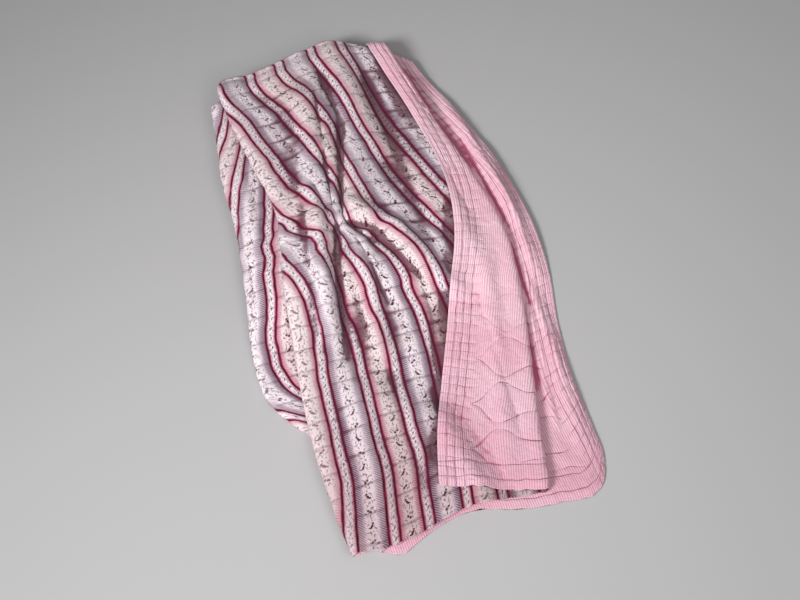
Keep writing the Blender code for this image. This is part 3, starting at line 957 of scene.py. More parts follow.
def cotton_places(side):
    """Places, cut widths, cut lengths, closeness to stitching, and the painted shade and highlight from
    hollows, crests, nooks and deep folds, of one cotton's points.
    """
    faces_column, relief_of = SIDES[side]
    middle, spread, layers, lengths = middle_of_quilt(faces_column)
    middle = creased(middle, layers)
    widths = cut_widths(middle, spread)
    relief, stitched = relief_of(widths, lengths)
    covered = covered_share(side, layers, spread, lengths)
    relief = relief * (1.0 - (1.0 - HIDDEN_CROWN) * covered)
    from_side = np.minimum(widths, FLAT_WIDTH - widths)
    from_hem = np.minimum(lengths, FLAT_LENGTH - lengths)
    inside = rise(np.minimum(from_side, from_hem), 0.0, EDGE_TAPER)
    relief = TURNED_EDGE / 2 + (relief - TURNED_EDGE / 2) * inside
    relief = np.maximum(relief, LEAST_RELIEF)
    band_share = band_of(widths)[2]
    middle[:, :, 1] -= HEM_SCALLOP * np.sin(np.pi * band_share) * hump(lengths, HEM_SCALLOP_FADE)

    rightwards, upwards = unit(np.gradient(middle, axis=1)), unit(np.gradient(middle, axis=0))
    normals = side * surface_normals(middle)
    left, foot = widths < FLAT_WIDTH / 2, lengths < FLAT_LENGTH / 2
    middle = rounded_corners(middle, from_side, from_hem, left, foot, rightwards, upwards)
    places = turned_at_edges(middle, relief, normals, rightwards, upwards)
    # The painted shade and highlight that the materials read: hollows and crests, nooks and deep folds.
    hollow = (hollows(places) + with_rim(painted_nook_and_fold_shade(middle, layers))) * with_rim(1.0 - covered)
    return places, with_rim(widths), with_rim(lengths), with_rim(stitched), hollow


def leaned(places):
    cosine, sine = math.cos(LEAN), math.sin(LEAN)
    return places @ np.array([[cosine, sine, 0], [-sine, cosine, 0], [0, 0, 1]])


cottons = {side: cotton_places(side) for side in (STRIPED, ROSE)}
turned = {side: leaned(found[0]) for side, found in cottons.items()}
every_place = np.concatenate([places.reshape(-1, 3) for places in turned.values()])
to_centre = (every_place.min(axis=0) + every_place.max(axis=0)) / 2
to_centre[2] = 0.0
print("sheets measure", np.round(np.ptp(every_place, axis=0), 4), "m")

# %% [markdown]
# ## Two meshes from plain grids
#
# Blender's create_grid makes all the faces, and only the points are put in place. The cut distances
# become a UV map, so that print and stitching follow the cloth round every fold, and the two
# measures that the materials need become attributes of the points.

# %% Making the two meshes
def sheet_mesh(name, places, widths, lengths, stitched, hollow, side):
    rows, columns = places.shape[0] - 1, places.shape[1] - 1
    weave = bmesh.new()
    bmesh.ops.create_grid(weave, x_segments=columns, y_segments=rows, size=0.5)
    if side == ROSE:
        bmesh.ops.reverse_faces(weave, faces=weave.faces[:])
    mesh = bpy.data.meshes.new(name)
    weave.to_mesh(mesh)
    weave.free()

    flat = np.zeros(len(mesh.vertices) * 3)
    mesh.vertices.foreach_get("co", flat)
    flat = flat.reshape(-1, 3)
    column = np.rint((flat[:, 0] + 0.5) * columns).astype(int)
    row = np.rint((flat[:, 1] + 0.5) * rows).astype(int)
    mesh.vertices.foreach_set("co", places[row, column].ravel())

    corners = np.zeros(len(mesh.loops), int)
    mesh.loops.foreach_get("vertex_index", corners)
    cut = np.column_stack([widths[row, column], lengths[row, column]])
    mesh.uv_layers.new(name="cut").data.foreach_set("uv", cut[corners].ravel())
    for attribute, values in (("stitched", stitched), ("hollow", hollow)):
        mesh.attributes.new(attribute, "FLOAT", "POINT").data.foreach_set("value", values[row, column])
    mesh.shade_smooth()
    mesh.update()
    piece = bpy.data.objects.new(name, mesh)
    bpy.context.scene.collection.objects.link(piece)
    print(name, "has", 2 * len(mesh.polygons), "triangles")
    return piece


striped_sheet = sheet_mesh("striped_face", turned[STRIPED] - to_centre, *cottons[STRIPED][1:], STRIPED)
rose_sheet = sheet_mesh("rose_face", turned[ROSE] - to_centre, *cottons[ROSE][1:], ROSE)

# %% [markdown]
# ## Building materials from sums
#
# A printed cotton is easiest to describe as a set of small sums on the two cut distances: how far
# across, and how far along. Blender does such sums with Math nodes. These helpers keep each sum on
# one line, and take either a number or the result of another node.

# %% Node helpers
def add_node(tree, kind, **settings):
    made = tree.nodes.new(kind)
    for name, value in settings.items():
        setattr(made, name, value)
    return made


def feed(tree, socket, value):
    if isinstance(value, bpy.types.NodeSocket):
        tree.links.new(value, socket)
    else:
        socket.default_value = value


def maths(tree, operation, *values):
    made = add_node(tree, "ShaderNodeMath", operation=operation)
    for socket, value in zip(made.inputs, values):
        feed(tree, socket, value)
    return made.outputs[0]


def between(tree, value, low, high, to_low=0.0, to_high=1.0):
    """A smooth step of the value from low to high, or down again where high is the smaller."""
    made = add_node(tree, "ShaderNodeMapRange", interpolation_type="SMOOTHSTEP")
    for socket, given in zip(made.inputs, (value, low, high, to_low, to_high)):
        feed(tree, socket, given)
    return made.outputs[0]


print("nodes so far do sums:", maths.__name__, "and", between.__name__)

# %% Colours, places and attributes as nodes
def blend_colour(tree, share, below, above, way="MIX"):
    made = add_node(tree, "ShaderNodeMix", data_type="RGBA", blend_type=way)
    feed(tree, made.inputs[0], share)
    feed(tree, made.inputs[6], below)
    feed(tree, made.inputs[7], above)
    return made.outputs[2]


def vector(tree, x, y, z=0.0):
    made = add_node(tree, "ShaderNodeCombineXYZ")
    for socket, value in zip(made.inputs, (x, y, z)):
        feed(tree, socket, value)
    return made.outputs[0]


def point_value(tree, name):
    """One of the attributes of the points."""
    return add_node(tree, "ShaderNodeAttribute", attribute_name=name).outputs["Fac"]


print("and now also:", blend_colour.__name__, "and", vector.__name__, "and", point_value.__name__)

# %% Noise, ramps and paint colours
def cloudy(tree, place, scale, detail=2.0):
    """Noise from 0 to 1, with cells of about 1 / scale metres."""
    made = add_node(tree, "ShaderNodeTexNoise")
    feed(tree, made.inputs["Vector"], place)
    feed(tree, made.inputs["Scale"], scale)
    feed(tree, made.inputs["Detail"], detail)
    return made.outputs["Fac"]


def wavering(tree, place, scale, size):
    """An uneven shift, by up to half of the size either way."""
    return maths(tree, "MULTIPLY_ADD", cloudy(tree, place, scale), size, -size / 2)


def ripples(tree, value, pitch):
    """A sine of the value, from -1 to 1, that repeats with the pitch."""
    return maths(tree, "SINE", maths(tree, "MULTIPLY", value, 2 * math.pi / pitch))


def colour_ramp(tree, share, stops):
    """A colour for each share from 0 to 1, from (share, colour) stops."""
    made = add_node(tree, "ShaderNodeValToRGB")
    feed(tree, made.inputs[0], share)
    elements = made.color_ramp.elements
    elements[0].position, elements[1].position = stops[0][0], stops[-1][0]
    elements[0].color, elements[-1].color = stops[0][1], stops[-1][1]
    for position, colour in stops[1:-1]:
        elements.new(position).color = colour
    return made.outputs[0]


def srgb(red, green, blue):
    """A colour given in the 0 to 255 steps of a paint chart, as Blender's linear numbers."""
    steps = [value / 255 for value in (red, green, blue)]
    return tuple(s / 12.92 if s < 0.04045 else ((s + 0.055) / 1.055) ** 2.4 for s in steps) + (1.0,)


print("mid grey, 128 of 255, is", round(srgb(128, 128, 128)[0], 3), "in Blender's numbers")

# %% [markdown]
# ## What both cottons share
#
# Both materials read the UV map, whose two numbers are metres across and along the cut cloth. Both
# are dull, with the faint sheen of washed cotton, and have their finest relief as bump. What is the
# same all over, such as the roughness, is set on the shader itself.

# %% A cotton material
def new_material(name, slot_colour):
    """A material with its tree and shader, and the cut distances across and along."""
    material = bpy.data.materials.new(name)
    material.use_nodes = True
    material.diffuse_color = slot_colour
    tree = material.node_tree
    shader = tree.nodes["Principled BSDF"]
    cut = add_node(tree, "ShaderNodeUVMap", uv_map="cut")
    split = add_node(tree, "ShaderNodeSeparateXYZ")
    tree.links.new(cut.outputs[0], split.inputs[0])
    return material, tree, shader, split.outputs[0], split.outputs[1]


def raise_surface(tree, shader, height):
    """Dull cotton, with bump from a height in metres."""
    bump = add_node(tree, "ShaderNodeBump")
    bump.inputs["Distance"].default_value = 1.0
    feed(tree, bump.inputs["Height"], height)
    tree.links.new(bump.outputs[0], shader.inputs["Normal"])
    shader.inputs["Roughness"].default_value = 0.88
    shader.inputs["Specular IOR Level"].default_value = 0.25
    shader.inputs["Sheen Weight"].default_value = 0.12
    shader.inputs["Sheen Roughness"].default_value = 0.5


print("materials so far:", len(bpy.data.materials))

# %% [markdown]
# ## The striped print
#
# One repeat is 13 cm wide: a narrow band, a wide one edged in mauve, a narrow one again and a wide
# one edged in rose, with a thin crimson line at each border. A picture of the cloth could be laid
# on it, but sums stay sharp at any distance. So the ground colours go in one colour ramp, whose
# stops are places in millimetres from the first crimson line, and the flowers are scattered marks.

# %% Colours of the stripes
WHITE = srgb(245, 231, 237)
CREAM = srgb(240, 219, 220)
BLUSH = srgb(206, 132, 158)
ROSE_SHADE = srgb(184, 88, 120)
ROSE_TINT = srgb(222, 162, 178)
LILAC = srgb(208, 188, 200)
MAUVE = srgb(160, 124, 146)
# Hatching ink of the print, also used as painted shade in the dents of the cross lines.
HATCH_AND_DENT_SHADE_MAUVE = srgb(84, 48, 74)
HATCH_ROSE = srgb(160, 62, 98)
CRIMSON = srgb(134, 10, 54)
# Near-black core of the crimson lines, partly print and partly painted shade of the stitched groove.
LINE_CORE_AND_GROOVE_SHADE = srgb(44, 0, 18)
BURGUNDY = srgb(44, 0, 22)
PETAL = srgb(204, 122, 148)
LEAF = srgb(112, 112, 108)
INK = srgb(62, 56, 66)
SCRIBBLE = srgb(100, 88, 98)
FOLD_SHADE = srgb(84, 14, 44)
TEA = srgb(214, 190, 172)
SPECK = srgb(146, 128, 142)
# Painted shade: the print is made darker towards the foot.
FOOT_SHADE = srgb(202, 184, 186)      # multiplied with the print near the foot
print("crimson is", np.round(CRIMSON[:3], 3), "in Blender's numbers")

# %% One repeat of the stripes
LINE_PLACES = (0.0, 0.020, 0.070, 0.088)
LINE_CORE = (0.0016, 0.0007)       # distances at which a line's dark core ends, and is whole
LINE_EDGE = (0.0031, 0.0015)       # and the same for its crimson
STRIPE_STOPS = (
    (0.0, ROSE_SHADE), (3.0, BLUSH), (6.6, WHITE), (13.4, WHITE), (17.0, BLUSH), (19.9, ROSE_SHADE),
    (20.1, MAUVE), (30.0, LILAC), (37.0, WHITE), (53.0, WHITE), (60.0, LILAC), (69.9, MAUVE),
    (70.1, ROSE_SHADE), (72.8, BLUSH), (76.0, WHITE), (82.0, WHITE), (85.2, BLUSH), (87.9, ROSE_SHADE),
    (88.1, ROSE_SHADE), (92.5, ROSE_TINT), (99.0, CREAM), (119.0, CREAM), (125.5, ROSE_TINT),
    (130.0, ROSE_SHADE),
)
WIDE_BANDS = ((0.045, 0.0250), (0.109, 0.0210))      # middle and half width, the second edged in rose
NARROW_MIDDLES = (0.010, 0.079)
NARROW_HALF = 0.0080
print(len(STRIPE_STOPS), "colour stops in a repeat")

# %% [markdown]
# ## Sprigs as tables of marks
#
# A block cutter works in strokes: a petal, a leaf, a bud. Each mark is an oval, in millimetres from
# the middle of its cell, and turned by an angle. Two kinds of sprig share a cell in the wide bands,
# and a cell of the narrow ones has a dash and three small leaves.

# %% Marks
SPRIG_LENGTH = 0.048      # of a cell in a wide band
MARK_COLUMNS = ("ink", "across", "along", "turn", "half_length", "half_width")
SPRIG_MARKS = (
    ("petal", 0.2, -12.4, 30, 5.0, 3.0),
    ("petal", 0.8, 11.6, 60, 4.8, 2.8),
    ("leaf", -6.2, -8.6, -40, 3.2, 1.0),
    ("leaf", 6.4, -15.8, 35, 3.0, 1.0),
    ("leaf", -5.8, 14.0, 60, 3.0, 0.9),
    ("leaf", 6.0, 7.4, -55, 3.0, 0.9),
    ("ink", 2.8, -3.2, 72, 2.4, 0.7),
    ("ink", -2.4, 1.2, 104, 2.6, 0.7),
    ("ink", 1.2, 20.2, 64, 2.2, 0.7),
    ("ink", -1.6, -20.4, 98, 2.2, 0.7),
    ("bud", -1.9, -13.8, 25, 2.1, 1.7),
    ("bud", 2.2, -11.2, 20, 1.9, 1.5),
    ("bud", -0.4, 10.6, 52, 4.0, 1.6),
    ("bud", 2.4, 15.6, -20, 1.9, 1.3),
    ("bud", -4.2, 8.6, 5, 1.4, 1.1),
)
NARROW_LENGTH = 0.0165
NARROW_MARKS = (
    ("ink", 0.6, -3.4, 64, 3.0, 1.1),
    ("leaf", -1.6, 2.4, 112, 2.6, 0.9),
    ("leaf", 2.4, 5.8, 76, 2.0, 0.8),
    ("leaf", -3.0, -6.6, 92, 1.8, 0.7),
)
# Each ink, its colour and its strength, in the order of printing
SPRIG_INKS = (("petal", PETAL, 0.40), ("leaf", LEAF, 0.70), ("ink", INK, 0.85), ("bud", BURGUNDY, 0.97))
NARROW_INKS = (("ink", INK, 0.85), ("leaf", LEAF, 0.60))
print(len(SPRIG_MARKS), "marks in a cell of a wide band,", len(NARROW_MARKS), "in one of a narrow band")

# %% [markdown]
# ## Drawing the marks
#
# An oval is all the places that lie less than 1 from its middle, once a place has been moved,
# turned and scaled to the oval's own sizes. A Mapping node of the Texture kind does that in one
# step. The marks of one ink are joined by taking the larger share.

# %% Ovals and inks
MARK_EDGE = (1.22, 0.88)  # from outside an oval's edge to inside it


def share_of(tree, *shares):
    """The product of a few shares."""
    product = shares[0]
    for share in shares[1:]:
        product = maths(tree, "MULTIPLY", product, share)
    return product


def printed_marks(tree, across, along, table):
    """Where the marks of each ink are, from 0 to 1, at a place given in metres."""
    place = vector(tree, *(maths(tree, "MULTIPLY", distance, 1000.0) for distance in (across, along)))
    inks = {}
    for row in table:
        mark = dict(zip(MARK_COLUMNS, row))
        moved = add_node(tree, "ShaderNodeMapping", vector_type="TEXTURE")
        feed(tree, moved.inputs["Vector"], place)
        moved.inputs["Location"].default_value = (mark["across"], mark["along"], 0.0)
        moved.inputs["Rotation"].default_value = (0.0, 0.0, math.radians(mark["turn"]))
        moved.inputs["Scale"].default_value = (mark["half_length"], mark["half_width"], 1.0)
        length = add_node(tree, "ShaderNodeVectorMath", operation="LENGTH")
        feed(tree, length.inputs[0], moved.outputs[0])
        drawn = between(tree, length.outputs["Value"], *MARK_EDGE)
        inks[mark["ink"]] = maths(tree, "MAXIMUM", inks.get(mark["ink"], 0.0), drawn)
    return inks


def in_inks(tree, colour, marks, inks, inside):
    """The colour with the marks of each ink printed on it, inside their band."""
    for ink, tone, strength in inks:
        colour = blend_colour(tree, share_of(tree, marks[ink], inside, strength), colour, tone)
    return colour


print("a mark's edge is soft over", round(MARK_EDGE[0] - MARK_EDGE[1], 2), "of its half width")

# %% [markdown]
# ## Ground and hatching
#
# The wide bands are shaded towards their borders by fine slanted strokes, as an engraver does it.
# The strokes are a sine of the two cut distances together, which is what slants them.

# %% Ground and hatching of the stripes
HATCH_PITCH = 0.0040
HATCH_SLANT = 0.8
HATCH_REACH = (0.38, 0.70)         # shares of a band's half width, from no strokes to all
HATCHING = ((HATCH_AND_DENT_SHADE_MAUVE, 0.85), (HATCH_ROSE, 0.55))      # ink and strength in each wide band


def distance_to(tree, value, place):
    return maths(tree, "ABSOLUTE", maths(tree, "SUBTRACT", value, place))


def striped_ground(tree, in_repeat, along):
    """The ground colours, with hatching at the borders of the wide bands."""
    stops = [(place_mm / (REPEAT * 1000), colour) for place_mm, colour in STRIPE_STOPS]
    colour = colour_ramp(tree, maths(tree, "DIVIDE", in_repeat, REPEAT), stops)
    slanted = maths(tree, "MULTIPLY_ADD", in_repeat, HATCH_SLANT, along)
    strokes = ripples(tree, slanted, HATCH_PITCH)
    strokes = between(tree, strokes, -0.35, 0.45)
    for (middle, half), (ink, strength) in zip(WIDE_BANDS, HATCHING):
        away = distance_to(tree, in_repeat, middle)
        border = between(tree, away, *(share * half for share in HATCH_REACH))
        border = share_of(tree, border, maths(tree, "LESS_THAN", away, half))
        colour = blend_colour(tree, share_of(tree, strokes, border, strength), colour, ink)
    return colour


print("hatching every", HATCH_PITCH * 1000, "mm")

# %% [markdown]
# ## Sprigs and dashes
#
# A cell repeats because the distance along the cloth is wrapped. Every second cell of the sprigs is
# turned over, and a random number for each cell moves it a little, so that the repeat is less plain.

# %% Sprigs in the wide bands
SPRIG_STAGGER = 0.6       # in cells, between the two wide bands
SPRIG_SHIFT = 0.007       # a cell's marks are out of place by up to half of this, either way
VINE_EDGE = (0.0185, 0.0165)       # distances from a band's middle at which the marks end
SCRIBBLE_EDGE = (0.018, 0.006)     # and at which the scribble between them does


def sprigs(tree, colour, in_repeat, along, smudge):
    """The colour with a vine of sprigs up each wide band, and how near each place is to a vine."""
    is_rose = maths(tree, "GREATER_THAN", in_repeat, NARROW_MIDDLES[1])
    centre = maths(tree, "MULTIPLY_ADD", is_rose, WIDE_BANDS[1][0] - WIDE_BANDS[0][0], WIDE_BANDS[0][0])
    from_wide = maths(tree, "SUBTRACT", in_repeat, centre)
    phase = maths(tree, "MULTIPLY_ADD", is_rose, SPRIG_STAGGER * SPRIG_LENGTH, along)
    cell = maths(tree, "FLOOR", maths(tree, "DIVIDE", phase, SPRIG_LENGTH))
    way = maths(tree, "MULTIPLY_ADD", maths(tree, "PINGPONG", cell, 1.0), -2.0, 1.0)
    chance = add_node(tree, "ShaderNodeTexWhiteNoise", noise_dimensions="1D")
    feed(tree, chance.inputs["W"], cell)
    shift = maths(tree, "MULTIPLY_ADD", chance.outputs["Value"], SPRIG_SHIFT, -SPRIG_SHIFT / 2)
    in_cell = maths(tree, "SUBTRACT", maths(tree, "WRAP", phase, SPRIG_LENGTH, 0.0), SPRIG_LENGTH / 2)
    on_sprig = maths(tree, "ADD", share_of(tree, from_wide, way), maths(tree, "ADD", shift, smudge))
    marks = printed_marks(tree, on_sprig, maths(tree, "ADD", in_cell, smudge), SPRIG_MARKS)
    from_middle = maths(tree, "ABSOLUTE", from_wide)
    colour = in_inks(tree, colour, marks, SPRIG_INKS, between(tree, from_middle, *VINE_EDGE))
    return colour, between(tree, from_middle, *SCRIBBLE_EDGE)


print("sprigs repeat every", SPRIG_LENGTH * 1000, "mm")

# %% Dashes in the narrow bands
NARROW_STAGGER = 0.4      # in cells, between the two narrow bands


def repeated(tree, value, pitch):
    """The value's place in its repeat, from minus half a pitch to half a pitch."""
    return maths(tree, "WRAP", value, pitch / 2, -pitch / 2)


def dashes(tree, colour, in_repeat, along, smudge):
    """The colour with small dashes down each narrow band, and where the narrow bands are."""
    is_second = maths(tree, "GREATER_THAN", in_repeat, WIDE_BANDS[0][0])
    first, second = NARROW_MIDDLES
    centre = maths(tree, "MULTIPLY_ADD", is_second, second - first, first)
    from_centre = maths(tree, "SUBTRACT", in_repeat, centre)
    in_narrow = maths(tree, "COMPARE", from_centre, 0.0, NARROW_HALF)
    phase = maths(tree, "MULTIPLY_ADD", is_second, NARROW_STAGGER * NARROW_LENGTH, along)
    in_cell = repeated(tree, phase, NARROW_LENGTH)
    marks = printed_marks(tree, maths(tree, "ADD", from_centre, smudge), in_cell, NARROW_MARKS)
    return in_inks(tree, colour, marks, NARROW_INKS, in_narrow), in_narrow


print("dashes repeat every", NARROW_LENGTH * 1000, "mm")

# %% [markdown]
# ## Lines, wear and painted light on the print
#
# The crimson lines go on after the cross lines and the painted highlight on the crests, because the
# eye finds the quilting by them. They are nearly black in the stitched groove, partly print and partly
# painted shade, red beside it, and stronger in some places than in others. Painted shade darkens the
# hollows, nooks and deep folds, and the cloth towards the foot.

# %% Lines, age and shade
FOOT_SHADE_LENGTH = 0.34     # from the foot hem


def crimson_lines(tree, colour, place, in_repeat):
    """The colour with a line at each border of the bands, crimson with a dark core."""
    nearest = distance_to(tree, in_repeat, REPEAT)
    for line in LINE_PLACES:
        nearest = maths(tree, "MINIMUM", nearest, distance_to(tree, in_repeat, line))
    edge, core = (between(tree, nearest, *reach) for reach in (LINE_EDGE, LINE_CORE))
    colour = blend_colour(tree, share_of(tree, edge, 0.92), colour, CRIMSON)
    worn = between(tree, cloudy(tree, place, 60.0), 0.30, 0.58, 0.35, 1.0)
    # The near-black core is partly print and partly painted shade of the stitched groove.
    return blend_colour(tree, share_of(tree, core, worn), colour, LINE_CORE_AND_GROOVE_SHADE)


def aged(tree, colour, place):
    """Tea-coloured patches, and the weave's specks."""
    specks = between(tree, cloudy(tree, place, 560.0), 0.48, 0.68)
    colour = blend_colour(tree, share_of(tree, specks, 0.30), colour, SPECK)
    tea = between(tree, cloudy(tree, place, 7.0, 4.0), 0.56, 0.74)
    return blend_colour(tree, share_of(tree, tea, 0.35), colour, TEA)


def lines_and_painted_light(tree, colour, place, in_repeat, along):
    """The cross lines with painted shade in their dents, a painted highlight on the crests, the crimson
    lines, painted shade towards the foot and painted shade in the deep folds.
    """
    stitched, hollow = point_value(tree, "stitched"), point_value(tree, "hollow")
    # Painted shade in the dents of the cross lines.
    colour = blend_colour(tree, between(tree, stitched, 0.55, 0.95, 0.0, 0.40), colour, HATCH_AND_DENT_SHADE_MAUVE)
    # Painted highlight: crests are made paler.
    colour = blend_colour(tree, between(tree, hollow, -0.15, -1.0, 0.0, 0.20), colour, WHITE)
    colour = crimson_lines(tree, colour, place, in_repeat)
    # Painted shade: darker towards the foot.
    foot_shade = between(tree, along, FOOT_SHADE_LENGTH, 0.0, 0.0, 0.75)
    colour = blend_colour(tree, foot_shade, colour, FOOT_SHADE, "MULTIPLY")
    # Painted shade in hollows, nooks and deep folds.
    return blend_colour(tree, between(tree, hollow, 0.10, 1.0, 0.0, 0.82), colour, FOLD_SHADE)


print("crimson lines at", LINE_PLACES, "m in each repeat")

# %% The striped cotton
PRINT_DRIFT = 0.0024      # the printed lines waver by up to half of this, either way
PRINT_SMUDGE = 0.0020
SCRIBBLE_SHORTENING = 0.6 # of the distance along, which draws the scribble out that way
THREAD_PITCH = 0.00075
THREAD_RELIEF = 0.00003
STRIPED_CREPE = 0.0017    # height of the finest crumples


def striped_cotton():
    material, tree, shader, across, along = new_material("printed_stripes", (0.58, 0.40, 0.44, 1.0))
    place = vector(tree, across, along)
    across = maths(tree, "ADD", across, wavering(tree, place, 38.0, PRINT_DRIFT))
    in_repeat = maths(tree, "WRAP", maths(tree, "SUBTRACT", across, FIRST_LINE), REPEAT, 0.0)
    smudge = wavering(tree, place, 420.0, PRINT_SMUDGE)
    colour = aged(tree, striped_ground(tree, in_repeat, along), place)
    colour, near_vine = sprigs(tree, colour, in_repeat, along, smudge)
    colour, in_narrow = dashes(tree, colour, in_repeat, along, smudge)
    drawn_out = vector(tree, across, maths(tree, "MULTIPLY", along, SCRIBBLE_SHORTENING))
    scribble = between(tree, cloudy(tree, drawn_out, 300.0, 1.5), 0.55, 0.66)
    scribble = share_of(tree, scribble, maths(tree, "MAXIMUM", near_vine, in_narrow), 0.72)
    colour = blend_colour(tree, scribble, colour, SCRIBBLE)
    colour = lines_and_painted_light(tree, colour, place, in_repeat, along)
    feed(tree, shader.inputs["Base Color"], colour)

    crumple = maths(tree, "MULTIPLY", cloudy(tree, place, 170.0, 4.0), STRIPED_CREPE)
    warp = ripples(tree, across, THREAD_PITCH)
    weft = ripples(tree, along, THREAD_PITCH)
    weave = maths(tree, "MULTIPLY", maths(tree, "ADD", warp, weft), THREAD_RELIEF)
    raise_surface(tree, shader, maths(tree, "ADD", crumple, weave))
    return material


striped_sheet.data.materials.append(striped_cotton())
print("on the striped sheet:", striped_sheet.data.materials[0].name)

# %% [markdown]
# ## The rose cotton
#
# A plain rose cloth with a fine lengthwise pin stripe, softened by washing. The stitched lines
# collect shadow and a little dirt, so they are drawn where the relief sinks, from the same sums,
# but fine enough for a thread. Deep in a fold, painted shade makes the rose stronger, and painted shade
# darkens it towards the foot.

# %% Colours of the rose
ROSE_LIGHT = srgb(248, 212, 223)
ROSE_MID = srgb(242, 194, 208)
ROSE_PIN = srgb(210, 134, 160)
ROSE_THREAD = srgb(128, 50, 84)
# Painted shade deep in folds, in a stronger rose.
ROSE_FOLD_SHADE = srgb(184, 52, 104)
ROSE_FADED = srgb(248, 214, 226)
# Painted shade: the rose is made darker towards the foot.
ROSE_FOOT_SHADE = srgb(236, 230, 233)     # multiplied with the colour near the foot
PIN_STRIPE_PITCH = 0.0040
print("a pin stripe every", PIN_STRIPE_PITCH * 1000, "mm")

# %% Lines stitched into the rose
THREAD = (0.0012, 0.0003)          # distances at which a thread ends, and is whole


def near_multiple(tree, value, pitch):
    """Closeness, within a thread's width, to the nearest whole multiple of the pitch."""
    return between(tree, maths(tree, "ABSOLUTE", repeated(tree, value, pitch)), *THREAD)


def stitched_rungs(tree, from_side, along, wander):
    sway = ripples(tree, along, RUNG_SWAY_LENGTH)
    step = maths(tree, "MULTIPLY_ADD", from_side, RUNG_SLANT, along)
    step = maths(tree, "MULTIPLY_ADD", sway, RUNG_SWAY, step)
    rungs = near_multiple(tree, maths(tree, "ADD", step, wander), RUNG_PITCH)
    return share_of(tree, rungs, between(tree, from_side, RUNG_REACH + LINE_FADE, RUNG_REACH - LINE_FADE))


def stitched_waves(tree, across, along, from_side, from_hem, wander):
    swing = ripples(tree, across, WAVE_LENGTH)
    ripple = ripples(tree, across, RIPPLE_LENGTH)
    swing = maths(tree, "MULTIPLY_ADD", ripple, RIPPLE_SHARE, swing)
    waves = 0.0
    for way, start in ((-WAVE_SWING, 0.0), (WAVE_SWING, WAVE_PITCH)):
        step = maths(tree, "ADD", maths(tree, "MULTIPLY_ADD", swing, way, start), along)
        step = maths(tree, "ADD", step, wander)
        waves = maths(tree, "MAXIMUM", waves, near_multiple(tree, step, 2 * WAVE_PITCH))
    from_sides = between(tree, from_side, WAVE_START, WAVE_START + LINE_FADE)
    from_hems = between(tree, from_hem, HEM_LINES[-1], HEM_LINES[-1] + LINE_FADE)
    near_foot = between(tree, along, WAVES_GONE, WAVES_FULL)
    return share_of(tree, waves, share_of(tree, from_sides, from_hems), near_foot)


def border_lines(tree, from_side, from_hem, wander):
    lines = 0.0
    for distance, places in ((from_side, EDGE_LINES), (from_hem, HEM_LINES)):
        for line in places:
            away = maths(tree, "SUBTRACT", maths(tree, "ADD", distance, wander), line)
            thread = between(tree, maths(tree, "ABSOLUTE", away), *THREAD)
            lines = maths(tree, "MAXIMUM", lines, thread)
    return lines


print(len(EDGE_LINES), "lines along each side edge and", len(HEM_LINES), "along each hem")

# %% Threads and ribs of the rose
RIB_DRIFT = 0.0016        # the pin stripes waver by up to half of this, either way
THREAD_WANDER = 0.0060


def pin_striped(tree, place, across):
    """Rose in soft patches with its pin stripes, and the wave that the stripes follow."""
    patches = between(tree, cloudy(tree, place, 9.0, 3.0), 0.35, 0.68)
    colour = blend_colour(tree, patches, ROSE_MID, ROSE_LIGHT)
    ribs = maths(tree, "ADD", across, wavering(tree, place, 60.0, RIB_DRIFT))
    ribs = ripples(tree, ribs, PIN_STRIPE_PITCH)
    pin = share_of(tree, between(tree, ribs, -0.1, 0.8), 0.62)
    return blend_colour(tree, pin, colour, ROSE_PIN), ribs


def threaded(tree, colour, place, across, along):
    """The colour with the stitched lines on it, and where they are."""
    from_side = maths(tree, "MINIMUM", across, maths(tree, "SUBTRACT", FLAT_WIDTH, across))
    from_hem = maths(tree, "MINIMUM", along, maths(tree, "SUBTRACT", FLAT_LENGTH, along))
    wander = wavering(tree, place, 34.0, THREAD_WANDER)
    worn = between(tree, cloudy(tree, place, 42.0), 0.38, 0.62, 0.10, 1.0)
    rungs = stitched_rungs(tree, from_side, along, wander)
    waves = stitched_waves(tree, across, along, from_side, from_hem, wander)
    lines = border_lines(tree, from_side, from_hem, wander)
    strengths = (
        (rungs, share_of(tree, between(tree, along, 0.62, 0.20, 0.08, 0.50), worn)),
        (waves, share_of(tree, worn, 0.85)),
        (lines, maths(tree, "MULTIPLY_ADD", worn, 0.35, 0.40)),
    )
    for thread, strength in strengths:
        colour = blend_colour(tree, share_of(tree, thread, strength), colour, ROSE_THREAD)
    return colour, maths(tree, "MAXIMUM", rungs, maths(tree, "MAXIMUM", waves, lines))


print("threads wander by up to", THREAD_WANDER / 2 * 1000, "mm")

# %% The rose cotton
ROSE_FOOT_SHADE_LENGTH = 0.40         # from the foot hem
RIB_RELIEF = 0.00016
ROSE_CREPE = 0.0018       # height of the finest crumples
THREAD_GROOVE = 0.0004


